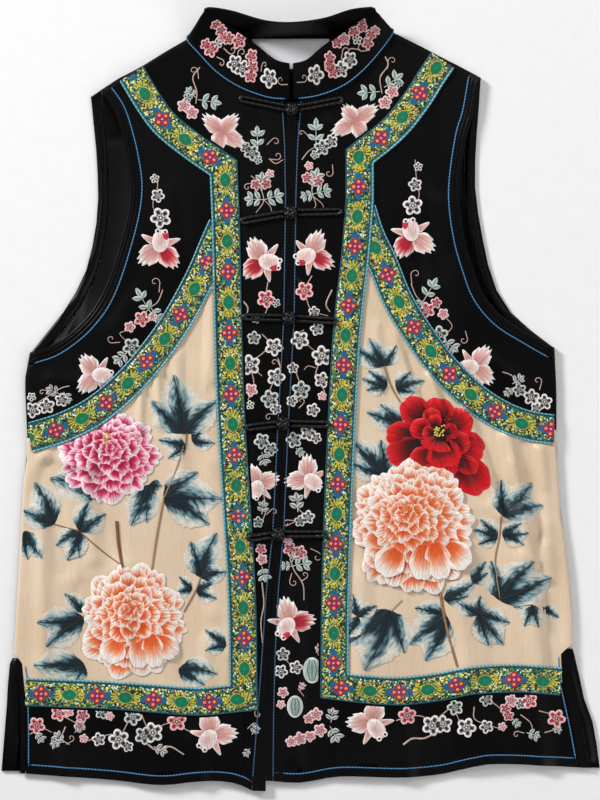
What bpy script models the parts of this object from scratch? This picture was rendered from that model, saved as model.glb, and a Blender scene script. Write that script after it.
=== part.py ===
"""An embroidered silk waistcoat with a standing collar, laid out flat and face up.

Sizes are in millimetres, and MM turns them to metres. +X is to the right of someone who looks
down at the waistcoat, +Y runs from the hem to the collar, and +Z is up from the table. The
origin is on the table, below the middle. Right and left are the wearer's, so the right front
lies at -X. The back lies on the table. The fronts lie on it, and join it at rounded folds down
the sides and along the shoulders.
"""

import math

import bmesh
import bpy
import numpy as np
from mathutils import Vector

MM = 0.001

# Walls and gaps
CLOTH = 1.8  # lined silk of the fronts
BACK_CLOTH = 1.6
BOUND_EDGE = 2.0  # folded satin of a bound edge
RIBBON = 0.8
COLLAR_CLOTH = 2.2
LABEL_CLOTH = 0.6
SEAM_GAP = 0.3
SLIT_SEAM_GAP = 0.6  # measured across, where a slit's binding widens at a slant
HEM_SEAM_GAP = 0.9
HALF_SEAM = 0.2  # between a panel and its seam line, where a ribbon covers the seam
LAID_ON = 0.5  # gap below what lies on a panel

# How the two layers lie
SEAM_HEIGHT = 3.0  # of the seam in a side fold or a shoulder fold
FOLD_SEAM_GAP = 0.55  # from the seam's height to the middle of either wall
FOLD_TOP = 5.2
FRONT_REST = 3.4  # middle of the fronts' wall, far from any fold
ROLL = 2.2
SETTLE = 30.0  # length over which a front sinks from a fold to its rest
ROLL_STEPS = (0, 0.33, 1.1, ROLL)
FOLD_EXTRA = 1.0  # how much wider a binding's seam gap is where it goes into a fold

# Widths of the trimmings
HALF_RIBBON = 12.0
ARMHOLE_BINDING = 10.0
HEM_BINDING = 8.0
BACK_SLIT_BINDING = 18.0
SLIT_RAMP = (2.0, 5.0, 10.0)  # how far below the top of a slit its binding reaches its width
PIPING_RADIUS = 1.0
SHORT_OF_FOLD = 3.5  # a ribbon stops this far from a fold

# Frog fastenings
CORD_RADIUS = 1.7
STRAND_OFFSET = 2.2
CORD_LIFT = BOUND_EDGE / 2 + 0.4 + CORD_RADIUS
KNOT_RADIUS = 6.0
KNOT_HALF_HEIGHT = 4.4

# Each line is a list of (x, y) from the neck or the shoulder down, or from the front edge out.
RIGHT = {
    "shoulder": ((-107, 342), (-124, 332.5), (-149, 317), (-172, 305), (-199, 287)),
    "neck": ((-107, 342), (-86, 318), (-57, 297), (-31, 288), (-13.5, 286)),
    "armhole": (
        (-190, 293), (-178, 276), (-171, 257), (-164, 228), (-161, 199),
        (-167, 163), (-185, 107), (-205, 76), (-232, 54), (-256, 45),
    ),
    "back_armhole": (
        (-199, 287), (-196, 257), (-193, 221), (-193, 176), (-203, 125), (-221, 90), (-241, 64), (-256, 45),
    ),
    "side": ((-256, 45), (-261, 19), (-258, -50), (-262, -77), (-266, -150), (-271, -240)),
    "slit": ((-271, -240), (-267, -266), (-266, -313), (-266, -356)),
    "back_slit": ((-271, -240), (-277, -252), (-279, -290), (-284, -352)),
    "hem": ((-45, -371), (-54, -366), (-70, -362), (-96, -361.5), (-133, -365), (-184, -360), (-266, -354)),
    "strap": ((-160, 311), (-141, 280), (-126, 261), (-101, 241), (-72, 221)),
    "yoke_border": ((-72, 221), (-70, 174)),
    "front_border": ((-70, 174), (-66, 10), (-59.5, -101), (-54.5, -190), (-53, -283)),
    "mitre": ((-53, -283), (-54, -340)),
    "hem_border": ((-53, -283), (-97, -287), (-140, -284), (-184, -281), (-261, -278)),
    "arc": (
        (-70, 174), (-82, 147), (-94, 119), (-113, 83), (-132, 54),
        (-160, 20), (-192, -8), (-224, -25), (-257, -36),
    ),
    "slit_binding": 5.0,
}
LEFT = {
    "shoulder": ((86, 349), (118, 333), (145, 319), (162, 310), (171, 305)),
    "neck": ((86, 349), (66, 319), (39, 298), (15, 290), (-4, 286)),
    "armhole": (
        (170, 305.5), (164, 272), (157, 247), (151, 199), (155, 158),
        (164, 125), (174, 100), (192, 79), (219, 62), (240, 50),
    ),
    "back_armhole": (
        (171, 305), (169, 275), (166, 232), (166, 198), (172, 158), (181, 118), (194, 90), (214, 70), (240, 50),
    ),
    "side": ((240, 50), (242, 10), (242, -50), (246, -110), (253, -155), (257, -200), (257, -231)),
    "slit": ((257, -231), (258, -266), (268, -311), (275, -349)),
    "back_slit": ((257, -231), (263, -253), (268, -280), (279, -310), (284, -349)),
    "hem": ((-32.5, -361), (0, -363), (38, -357), (93, -358), (133, -355), (163, -348), (191, -345), (275, -349)),
    "strap": ((134.5, 324), (123, 307), (109, 285), (87, 258), (55, 232)),
    "yoke_border": ((55, 232), (55, 190)),
    "front_border": ((55, 190), (51, 139), (42.5, 59), (36, -65), (32, -180), (31, -272)),
    "mitre": ((31, -272), (32, -340)),
    "hem_border": ((31, -272), (58, -275), (94, -277), (133, -273), (163, -267), (207, -265), (247, -268)),
    "arc": (
        (55, 190), (65, 158), (78, 130), (92, 96), (110, 66),
        (134, 33), (163, 4), (190, -14), (216, -24), (241, -28),
    ),
    "slit_binding": 10.0,
}
SIDES = {"right": RIGHT, "left": LEFT}
INWARD = {"right": 1, "left": -1}
BACK_HEM = ((-266, -351), (-133, -352), (0, -350), (150, -342), (191, -339), (266, -345))

# The opening down the front: where it runs, and how wide the satin is on either side of it.
OPENING_COLUMNS = ("y", "x", "right_binding", "left_binding")
OPENING = (
    (287, -8.5, 4.5, 4.5),
    (178, -9.5, 4.5, 4.5),
    (77, -11.0, 4.5, 4.5),
    (-22, -16.5, 4.5, 4.5),
    (-127, -21.5, 4.5, 5.0),
    (-180, -27.0, 5.0, 5.5),
    (-240, -30.5, 5.5, 6.0),
    (-300, -32.5, 8.0, 6.5),
    (-371, -33.0, 13.0, 6.5),
)

# The largest folds of the fronts, as soft ridges from one end to the other.
FOLD_COLUMNS = ("x1", "y1", "x2", "y2", "half_width", "height")
FOLDS = (
    (-52, -130, -54, -380, 28, 2.4),  # the tuck that takes in the right front at its lower edge
    (-135, -240, -133, -370, 32, 2.4),
    (178, -150, 180, -360, 34, 4.0),
    (70, -250, 60, -370, 30, 2.0),
    (190, -50, 205, -170, 24, 1.6),
    (-225, -70, -215, -190, 24, 1.6),
)
ARMHOLE_LIFT = 3.2
NECK_LIFT = 1.6
LIFT_WIDTH = 32.0

# The collar, one row for each section, from the right end round the neck to the left end.
COLLAR_COLUMNS = ("base_x", "base_y", "base_z", "top_x", "top_y", "top_z")
COLLAR = (
    (-10.4, 285.5, 7.8, -10.7, 318, 22),
    (-31, 287.0, 7.8, -24, 322, 19),
    (-58, 296.5, 7.8, -38, 333, 17.5),
    (-80, 311, 7.8, -56, 347, 18),
    (-97, 329, 7.8, -73, 358, 21),
    (-107, 341, 7.8, -86, 364, 25),
    (-103, 347, 6.0, -90, 369, 29),
    (-90, 347.5, 3.2, -83, 369.7, 32),
    (-68, 347, 3.0, -64, 366, 35),
    (-38, 346.5, 3.0, -34, 357, 37),
    (-8, 346.5, 3.0, -8, 355, 38),
    (26, 348, 3.0, 22, 359, 37),
    (52, 351, 3.0, 46, 367, 35),
    (72, 354, 3.2, 62, 369.7, 32),
    (84, 354, 6.0, 69, 370, 29),
    (87, 348, 7.8, 66, 366, 25),
    (78, 334, 7.8, 55, 359, 21),
    (60, 313, 7.8, 38, 347, 18),
    (40, 297.5, 7.8, 20, 334, 17.5),
    (16, 288.5, 7.8, 6, 322, 19),
    (-6.8, 285.5, 7.8, -7.0, 318, 22),
)
COLLAR_ROWS = 4

LABEL_CORNERS = ((-46, 314), (27, 343))

# The frogs, from the neck down: outer end of the right cord, the knot, outer end of the left cord.
FROG_COLUMNS = ("right_x", "right_y", "knot_x", "knot_y", "left_x", "left_y")
FROGS = (
    (-57, 286, -8.5, 276, 39, 285),
    (-56, 170, -9.5, 178, 38, 179),
    (-54, 79, -11, 78, 33, 75),
    (-51, -26, -16.5, -22, 26, -23),
    (-49, -131, -21.5, -127, 22, -127),
)

COLOURS = {
    "black_silk": (0.012, 0.011, 0.012, 0.45),
    "cream_silk": (0.68, 0.55, 0.38, 0.38),
    "black_satin": (0.016, 0.015, 0.018, 0.3),
    "ribbon": (0.20, 0.32, 0.14, 0.6),
    "piping": (0.04, 0.24, 0.30, 0.4),
    "label": (0.72, 0.66, 0.74, 0.5),
}


def rows_of(columns, table):
    return [dict(zip(columns, row)) for row in table]


def shares_of(line):
    """How far along a line each of its points is, from 0 to 1."""
    along = np.concatenate([[0], np.cumsum(np.linalg.norm(np.diff(line, axis=0), axis=1))])
    return along / along[-1]


def length_of(line):
    return float(np.linalg.norm(np.diff(line, axis=0), axis=1).sum())


def resample(line, shares):
    """The points at these shares of a line's length."""
    line = np.asarray(line, float)
    return np.stack([np.interp(shares, shares_of(line), line[:, axis]) for axis in range(line.shape[1])], axis=1)


def smooth(points, samples=8):
    """A close polyline along the Catmull-Rom curve through the points."""
    points = np.asarray(points, float)
    knots = np.vstack([2 * points[0] - points[1], points, 2 * points[-1] - points[-2]])
    made = [points[0]]
    for before, start, end, after in zip(knots, knots[1:], knots[2:], knots[3:]):
        for t in np.arange(1, samples + 1) / samples:
            linear, square, cube = end - before, 2 * before - 5 * start + 4 * end - after, 3 * (start - end) - before + after
            made.append(0.5 * (2 * start + linear * t + square * t**2 + cube * t**3))
    return np.array(made)


def walk(line, count, start_steps=(0,), end_steps=(0,)):
    """Evenly spaced points along a line, with closer ones at an end that rolls into a fold."""
    long = length_of(line)
    even = np.linspace(start_steps[-1], long - end_steps[-1], count)
    return resample(line, np.array([*start_steps[:-1], *even, *[long - step for step in end_steps[-2::-1]]]) / long)


def joined(*lines):
    """Lines end to end, with each shared end once."""
    return np.vstack([lines[0], *[line[1:] for line in lines[1:]]])


def halved(line):
    """The same line with a point added in the middle of each run."""
    middles = (line[:-1] + line[1:]) / 2
    return np.vstack([np.stack([line[:-1], middles], axis=1).reshape(-1, 2), line[-1:]])


def offset(line, distance):
    """The line moved to its left by a distance, with mitred corners."""
    run = np.diff(line, axis=0)
    run /= np.linalg.norm(run, axis=1)[:, None]
    normals = np.stack([-run[:, 1], run[:, 0]], axis=1)
    before, after = np.vstack([normals[:1], normals]), np.vstack([normals, normals[-1:]])
    mitre = before + after
    return line + distance * mitre / (mitre * after).sum(axis=1)[:, None]


def distance_to(points, line):
    """The distance of each point from a polyline."""
    points, line = np.asarray(points, float), np.asarray(line, float)
    starts, runs = line[:-1], np.diff(line, axis=0)
    share = ((points[:, None, :] - starts) * runs).sum(-1) / (runs * runs).sum(-1)
    nearest = starts + np.clip(share, 0, 1)[..., None] * runs
    return np.linalg.norm(points[:, None, :] - nearest, axis=-1).min(axis=1)


def nearest_of(points, lines):
    return np.min([distance_to(points, line) for line in lines], axis=0)


def part_beyond(line, *limits):
    """The part of a line that keeps its distance from other lines, as (line, distance) pairs."""
    close = resample(line, np.linspace(0, 1, int(length_of(line) * 4)))
    kept = np.all([distance_to(close, other) >= distance for other, distance in limits], axis=0)
    breaks = np.flatnonzero(np.diff(kept.astype(int))) + 1
    runs = np.split(np.arange(len(close)), breaks)
    return close[max((run for run in runs if kept[run[0]]), key=len)]


FOLD_LINES = [side[name] for side in SIDES.values() for name in ("shoulder", "side")]
ARMHOLE_EDGES = [smooth(side["armhole"]) for side in SIDES.values()]
NECK_EDGES = [smooth(side["neck"]) for side in SIDES.values()]
BORDERS = [joined(side["strap"], side["yoke_border"], side["front_border"]) for side in SIDES.values()]


def rolled(points):
    """0 at the seam of a fold, rising along a quarter of an ellipse to 1 where the roll ends."""
    share = np.clip(nearest_of(points, FOLD_LINES) / ROLL, 0, 1)
    return np.sqrt(1 - (1 - share) ** 2)


def front_height(points):
    """Height of the middle of the fronts' wall above the table."""
    points = np.asarray(points, float)
    from_fold = nearest_of(points, FOLD_LINES)
    lift = ARMHOLE_LIFT * np.exp(-((nearest_of(points, ARMHOLE_EDGES) / LIFT_WIDTH) ** 2))
    lift += NECK_LIFT * np.exp(-((nearest_of(points, NECK_EDGES) / LIFT_WIDTH) ** 2))
    for fold in rows_of(FOLD_COLUMNS, FOLDS):
        ridge = ((fold["x1"], fold["y1"]), (fold["x2"], fold["y2"]))
        lift += fold["height"] * np.exp(-((distance_to(points, ridge) / fold["half_width"]) ** 2))
    flat = FRONT_REST + (FOLD_TOP - FRONT_REST) * np.exp(-from_fold / SETTLE)
    height = flat + lift * (1 - np.exp(-from_fold / SETTLE))
    seam = SEAM_HEIGHT + FOLD_SEAM_GAP
    return seam + (height - seam) * rolled(points)


def back_height(points, wall=BACK_CLOTH):
    """Height of the middle of a back piece, which rests on the table and rolls up into the folds."""
    seam = SEAM_HEIGHT - FOLD_SEAM_GAP
    return seam - (seam - wall / 2) * rolled(points)


def back_binding_height(points):
    return back_height(points, BOUND_EDGE)


def on_front(lift):
    return lambda points: front_height(points) + lift


def shrink(loop, gaps):
    """A closed outline with each of its edges moved inwards by its own gap."""
    runs = np.roll(loop, -1, axis=0) - loop
    area = (loop[:, 0] * np.roll(loop[:, 1], -1) - loop[:, 1] * np.roll(loop[:, 0], -1)).sum()
    normals = np.stack([-runs[:, 1], runs[:, 0]], axis=1) / np.linalg.norm(runs, axis=1)[:, None] * np.sign(area)
    moved = []
    for index, point in enumerate(loop):
        pair, apart = normals[[index - 1, index]], gaps[[index - 1, index]]
        flat = abs(np.linalg.det(pair)) < 0.1
        moved.append(point + (pair.T @ apart / 2 if flat else np.linalg.solve(pair, apart)))
    return np.array(moved)


def coons(top, right, bottom, left):
    """Rows of points that fill four lines. Top and bottom run from left to right, the others run down."""
    u = ((shares_of(top) + shares_of(bottom)) / 2)[None, :, None]
    v = ((shares_of(left) + shares_of(right)) / 2)[:, None, None]
    across = (1 - u) * left[:, None] + u * right[:, None]
    down = (1 - v) * top[None] + v * bottom[None]
    corners = (1 - v) * ((1 - u) * top[0] + u * top[-1]) + v * ((1 - u) * bottom[0] + u * bottom[-1])
    return across + down - corners


def panel_points(top, right, bottom, left, gaps=(0, 0, 0, 0)):
    """A panel's rows of points, with a gap along each of its four lines."""
    counts = [len(line) - 1 for line in (top, right, bottom, left)]
    loop = np.vstack([top[:-1], right[:-1], bottom[:0:-1], left[:0:-1]])
    loop = shrink(loop, np.repeat(np.array(gaps, float), counts))
    loop = np.vstack([loop, loop[:1]])
    ends = np.cumsum([0, *counts])
    lines = [loop[start : end + 1] for start, end in zip(ends, ends[1:])]
    return coons(lines[0], lines[1], lines[2][::-1], lines[3][::-1])


def material(name):
    found = bpy.data.materials.get(name)
    if found:
        return found
    red, green, blue, roughness = COLOURS[name]
    made = bpy.data.materials.new(name)
    made.use_nodes = True
    surface = made.node_tree.nodes["Principled BSDF"]
    surface.inputs["Base Color"].default_value = (red, green, blue, 1)
    surface.inputs["Roughness"].default_value = roughness
    surface.inputs["Metallic"].default_value = 0
    return made


def add_object(name, data, finish, collection):
    made = bpy.data.objects.new(name, data)
    collection.objects.link(made)
    own = material(finish).copy()
    own.name = name
    data.materials.append(own)
    return made


def cloth(name, points, wall, finish, collection):
    """A wall of cloth: a grid laid on rows of (x, y, z) points, then thickened both ways."""
    rows, across = points.shape[:2]
    mesh = bpy.data.meshes.new(name)
    grid = bmesh.new()
    bmesh.ops.create_grid(grid, x_segments=across - 1, y_segments=rows - 1, size=1)
    grid.verts.ensure_lookup_table()
    for vertex, place in zip(grid.verts, points.reshape(-1, 3) * MM):
        vertex.co = Vector(place)
    grid.to_mesh(mesh)
    grid.free()
    mesh.shade_smooth()
    made = add_object(name, mesh, finish, collection)
    thick = made.modifiers.new("Wall", "SOLIDIFY")
    thick.thickness = wall * MM
    thick.offset = 0
    return made


def laid(name, flat, height, wall, finish, collection):
    """A piece of cloth from its flat rows of points and a height function."""
    lifted = height(flat.reshape(-1, 2)).reshape(*flat.shape[:2], 1)
    return cloth(name, np.concatenate([flat, lifted], axis=2), wall, finish, collection)


def strip(name, outer, inner, height, wall, finish, collection, count=3):
    """A narrow piece between two lines that have the same number of points."""
    shares = np.linspace(0, 1, count)[None, :, None]
    flat = outer[:, None] + shares * (inner - outer)[:, None]
    return laid(name, flat, height, wall, finish, collection)


def cord(name, line, height, radius, finish, collection):
    """A round cord along a line, at a height."""
    curve = bpy.data.curves.new(name, "CURVE")
    curve.dimensions = "3D"
    curve.bevel_depth = radius * MM
    curve.bevel_resolution = 1
    curve.use_fill_caps = True
    spline = curve.splines.new("POLY")
    spline.points.add(len(line) - 1)
    for point, (x, y), z in zip(spline.points, line, height(line)):
        point.co = (x * MM, y * MM, z * MM, 1)
    return add_object(name, curve, finish, collection)


def front_edge(side, inward, ys):
    """The front edge of one side, moved in over the cloth, at these heights of the page."""
    rows = rows_of(OPENING_COLUMNS, OPENING)[::-1]
    table = {name: [row[name] for row in rows] for name in OPENING_COLUMNS}
    binding = np.interp(ys, table["y"], table[f"{side}_binding"])
    shift = SEAM_GAP / 2 + (0 if inward is None else binding + inward)
    return np.stack([np.interp(ys, table["y"], table["x"]) - INWARD[side] * shift, ys], axis=1)


def x_at(line, ys):
    """A downward line's x at these heights of the page."""
    line = np.asarray(line, float)[::-1]
    return np.interp(ys, line[:, 1], line[:, 0])


def hem_y(side, xs):
    line = smooth(SIDES[side]["hem"])[:: -INWARD[side]]
    return np.interp(xs, line[:, 0], line[:, 1])


def slit_line(side, name, width, gap, ys):
    """A slit's edge moved in over the cloth by its binding, which widens from the top of the slit."""
    top = SIDES[side][name][0][1]
    ramp = np.clip((top - ys) / SLIT_RAMP[-1], 0, 1)
    inset = (width + SEAM_GAP) * ramp + gap
    return np.stack([x_at(SIDES[side][name], ys) + INWARD[side] * inset, ys], axis=1)


def armhole_lines(side, name, count):
    """An armhole's edge, its binding's inner edge, and the edge of the panel next to it."""
    lines = SIDES[side]
    edge = smooth(lines[name])
    shoulder, flank = np.array(lines["shoulder"], float)[::-1], np.array(lines["side"], float)
    made = [walk(edge, count, ROLL_STEPS, ROLL_STEPS)]
    for inset in (ARMHOLE_BINDING, ARMHOLE_BINDING + SEAM_GAP):
        inner = offset(edge, inset * INWARD[side])
        for at, beside, away in ((0, 1, shoulder[1] - shoulder[0]), (-1, -2, flank[1] - flank[0])):
            away = away / np.linalg.norm(away)
            run = edge[beside] - edge[at]
            sine = abs(run[0] * away[1] - run[1] * away[0]) / np.linalg.norm(run)
            inner[at] = edge[at] + away * (inset + (inset - ARMHOLE_BINDING) * FOLD_EXTRA) / sine
        made.append(walk(inner, count, ROLL_STEPS, ROLL_STEPS))
    return made


def sample_side(side):
    """The shared lines of one front, each sampled once, so that neighbours match."""
    lines = SIDES[side]
    arc = smooth(lines["arc"])
    arc[-1, 0] = x_at(lines["side"], arc[-1, 1])
    hem_border = smooth(lines["hem_border"])
    hem_border[-1] = slit_line(side, "slit", lines["slit_binding"], 0, hem_border[-1:, 1])[0]
    made = {
        "strap": walk(smooth(lines["strap"]), 7, ROLL_STEPS),
        "yoke": walk(np.array(lines["yoke_border"], float), 3),
        "border": walk(smooth(lines["front_border"]), 15),
        "arc": walk(arc, 13, end_steps=ROLL_STEPS),
    }
    made["hem_border"] = resample(hem_border, shares_of(made["arc"]))
    mitre = np.array(lines["mitre"], float)
    mitre[1, 1] = hem_y(side, mitre[1, 0]) + HEM_BINDING + HEM_SEAM_GAP
    made["mitre"] = walk(mitre, 4)
    made["edge"], made["binding"], made["armhole"] = armhole_lines(side, "armhole", 21)
    return made


def build_front(side, collection):
    """One front: four panels, their ribbons and pipings, and the bindings of their edges."""
    lines, made, mid = SIDES[side], sample_side(side), on_front(0)
    inner = joined(made["strap"], made["yoke"], made["arc"])

    def panel(name, top, right, bottom, left, gaps, finish):
        flat = panel_points(top, right, bottom, left, gaps)
        return laid(f"{side}_{name}", flat, mid, CLOTH, finish, collection)

    def fold_bit(line, start, end, count):
        between = np.asarray(line, float)
        keep = (between - start) @ (end - start)
        keep = (keep > 1) & (keep < (end - start) @ (end - start) - 1)
        inside = between[keep]
        inside = inside[np.argsort((inside - start) @ (end - start))]
        return walk(np.vstack([start, inside, end]), count)

    shoulder, flank = lines["shoulder"], lines["side"]
    panel(
        "armhole_panel", fold_bit(shoulder, inner[0], made["armhole"][0], 7), made["armhole"],
        fold_bit(flank, inner[-1], made["armhole"][-1], 7), inner, (0, 0, 0, HALF_SEAM), "black_silk",
    )

    slit_top, border_end = lines["slit"][0][1], made["hem_border"][-1, 1]
    down_side = np.linspace(made["arc"][-1, 1], slit_top, 11)
    side_points = np.stack([x_at(flank, down_side), down_side], axis=1)
    ramp = slit_top - np.array(SLIT_RAMP)
    beside_cream = np.array([*ramp, border_end])
    slit = slit_line(side, "slit", lines["slit_binding"], 0, beside_cream)
    panel(
        "cream_panel", made["arc"], np.vstack([side_points, slit]), made["hem_border"], made["border"],
        (HALF_SEAM, 0, HALF_SEAM, HALF_SEAM), "cream_silk",
    )

    hem_end = hem_y(side, lines["slit"][-1][0]) + HEM_BINDING + HEM_SEAM_GAP
    beside_hem = np.linspace(border_end, hem_end, 4)
    slit = slit_line(side, "slit", lines["slit_binding"], 0, beside_hem)
    bottom = resample(np.array([made["mitre"][-1], slit[-1]]), shares_of(made["hem_border"]))
    bottom[:, 1] = hem_y(side, bottom[:, 0]) + HEM_BINDING + HEM_SEAM_GAP
    slit[-1] = bottom[-1]
    panel(
        "hem_band", made["hem_border"], slit, bottom, made["mitre"],
        (HALF_SEAM, 0, 0, HALF_SEAM), "black_silk",
    )

    placket_left = joined(made["strap"], made["yoke"], made["border"], made["mitre"])
    neck = walk(smooth(lines["neck"]), 8, ROLL_STEPS)
    neck_end = front_edge(side, SEAM_GAP, neck[-1:, 1])[0]
    neck[-1] = neck_end
    low_x = front_edge(side, SEAM_GAP, np.array([-352.0]))[0, 0]
    low_y = hem_y(side, low_x) + HEM_BINDING + HEM_SEAM_GAP
    ys = np.linspace(neck_end[1], low_y, len(placket_left) - len(neck) + 1)
    placket_right = joined(neck, front_edge(side, SEAM_GAP, ys))
    bottom = walk(np.array([placket_left[-1], placket_right[-1]]), 6)
    bottom[1:-1, 1] = hem_y(side, bottom[1:-1, 0]) + HEM_BINDING + HEM_SEAM_GAP
    panel(
        "placket_panel", fold_bit(shoulder, placket_left[0], neck[0], 6), placket_right,
        bottom, placket_left, (0, 0, 0, HALF_SEAM), "black_silk",
    )

    strip(
        f"{side}_armhole_binding", made["edge"], made["binding"],
        mid, BOUND_EDGE, "black_satin", collection,
    )
    front_ys = np.array([*ys, (ys[-1] + hem_y(side, low_x)) / 2, -371])
    outer, binding = front_edge(side, None, front_ys), front_edge(side, 0, front_ys)
    for line in (outer, binding):
        line[-1, 1] = hem_y(side, line[-1, 0])
    strip(
        f"{side}_front_edge_binding", outer, binding,
        mid, BOUND_EDGE, "black_satin", collection,
    )

    slit_ys = np.array([*ramp[1:], *beside_hem, hem_end - HEM_BINDING / 2, lines["slit"][-1][1]])
    slit_edge = np.stack([x_at(lines["slit"], slit_ys), slit_ys], axis=1)
    slit_inner = slit_line(side, "slit", lines["slit_binding"], -SLIT_SEAM_GAP, slit_ys)
    for line in (slit_edge, slit_inner):
        line[-1, 1] = hem_y(side, line[-1, 0])
    strip(
        f"{side}_slit_binding", slit_edge, slit_inner,
        mid, BOUND_EDGE, "black_satin", collection,
    )

    hem_lines = []
    for rise in (0, HEM_BINDING):
        start_y, end_y = hem_y(side, low_x) + rise, hem_y(side, slit_inner[-1, 0]) + rise
        start_x = front_edge(side, SEAM_GAP, np.array([start_y]))[0, 0]
        end_x = slit_line(side, "slit", lines["slit_binding"], 0, np.array([end_y]))[0, 0]
        xs = np.linspace(start_x, end_x, 24)
        hem_lines.append(np.stack([xs, hem_y(side, xs) + rise], axis=1))
    strip(f"{side}_hem_binding", *hem_lines, mid, BOUND_EDGE, "black_satin", collection)

    build_trim(side, made, slit_inner, collection)


def build_trim(side, made, slit_inner, collection):
    """The woven ribbons of one front, and the piping along their edges."""
    lines, turn = SIDES[side], INWARD[side]
    strap = walk(part_beyond(made["strap"], (lines["shoulder"], SHORT_OF_FOLD)), 7)
    across = made["hem_border"][:-3]
    across = walk(part_beyond(across, (slit_inner, 2.0)), 11)
    centre = halved(joined(strap, made["yoke"], made["border"], across))
    ribbon_height = on_front(CLOTH / 2 + LAID_ON + RIBBON / 2)
    piping_height = on_front(CLOTH / 2 + LAID_ON + PIPING_RADIUS)
    piping_offset = HALF_RIBBON + SEAM_GAP + 0.2 + PIPING_RADIUS
    strip(
        f"{side}_border_ribbon", offset(centre, HALF_RIBBON * turn), offset(centre, -HALF_RIBBON * turn),
        ribbon_height, RIBBON, "ribbon", collection,
    )
    cord(
        f"{side}_border_piping", offset(centre, -piping_offset * turn),
        piping_height, PIPING_RADIUS, "piping", collection,
    )

    border = joined(strap, made["yoke"], made["border"])
    arc = smooth(made["arc"][:-3], 4)
    arc = np.vstack([arc, arc[-1] + 3 * (arc[-1] - arc[-2])])
    clear = piping_offset + PIPING_RADIUS + SEAM_GAP
    ends = ((border, clear), (lines["side"], SHORT_OF_FOLD))
    edges = [walk(part_beyond(offset(arc, across * turn), *ends), 24) for across in (HALF_RIBBON, -HALF_RIBBON)]
    strip(f"{side}_arc_ribbon", *edges, ribbon_height, RIBBON, "ribbon", collection)
    ends = ((border, clear + PIPING_RADIUS), (lines["side"], SHORT_OF_FOLD))
    for name, apart in (("upper", piping_offset), ("lower", -piping_offset)):
        line = walk(part_beyond(offset(arc, apart * turn), *ends), 24)
        cord(f"{side}_arc_{name}_piping", line, piping_height, PIPING_RADIUS, "piping", collection)


def build_back(collection):
    """The back: one wall, its armhole bindings and its slit bindings."""
    edges = {}
    for side, lines in SIDES.items():
        edge, binding, armhole = armhole_lines(side, "back_armhole", 12)
        strip(
            f"{side}_back_armhole_binding", edge, binding,
            back_binding_height, BOUND_EDGE, "black_satin", collection,
        )
        shoulder = np.array(lines["shoulder"], float)
        shoulder[-1] = armhole[0]
        along = walk(shoulder, 8)
        top = lines["slit"][0][1]
        down = np.linspace(armhole[-1, 1], top, 9)
        flank = np.stack([x_at(lines["side"], down), down], axis=1)
        slit_ys = np.array([*(top - np.array(SLIT_RAMP)), *np.linspace(top - 30, lines["back_slit"][-1][1], 5)])
        inner = slit_line(side, "back_slit", BACK_SLIT_BINDING, 0, slit_ys)
        edges[side] = np.vstack([along[:-1], armhole[:-1], flank, inner])
        binding_ys = slit_ys[1:]
        binding_inner = slit_line(side, "back_slit", BACK_SLIT_BINDING, -SLIT_SEAM_GAP, binding_ys)
        outer = np.stack([x_at(lines["back_slit"], binding_ys), binding_ys], axis=1)
        strip(
            f"{side}_back_slit_binding", outer, binding_inner,
            back_binding_height, BOUND_EDGE, "black_satin", collection,
        )
    neck = walk(np.array([edges["right"][0], edges["left"][0]]), 15, ROLL_STEPS, ROLL_STEPS)
    hem = np.vstack([edges["right"][-1], smooth(BACK_HEM, 3)[1:-1], edges["left"][-1]])
    hem = resample(hem, shares_of(walk(hem, 15, ROLL_STEPS, ROLL_STEPS)))
    flat = coons(neck, edges["left"], hem, edges["right"])
    laid("back", flat, back_height, BACK_CLOTH, "black_silk", collection)


def build_collar(collection):
    """The standing collar, lofted from its base round the neck to its upper edge."""
    rows = np.array(COLLAR, float)
    base, top = smooth(rows[:, :3], 2), smooth(rows[:, 3:], 2)
    shares = np.linspace(0, 1, COLLAR_ROWS + 1)[None, :, None]
    points = base[:, None] + shares * (top - base)[:, None]
    cloth("collar", points, COLLAR_CLOTH, "black_silk", collection)


def build_label(collection):
    (x1, y1), (x2, y2) = LABEL_CORNERS
    xs, ys = np.linspace(x1, x2, 4), np.linspace(y1, y2, 3)
    flat = np.stack(np.meshgrid(xs, ys), axis=2)
    lift = BACK_CLOTH + SEAM_GAP + LABEL_CLOTH / 2
    laid("label", flat, lambda points: np.full(len(points), lift), LABEL_CLOTH, "label", collection)


def cord_height(points):
    """A cord lies on the bound edges, and rises over a ribbon where its end reaches one."""
    over = np.clip((18 - nearest_of(points, BORDERS)) / 3.5, 0, 1)
    return front_height(points) + CORD_LIFT + 1.3 * over


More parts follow.
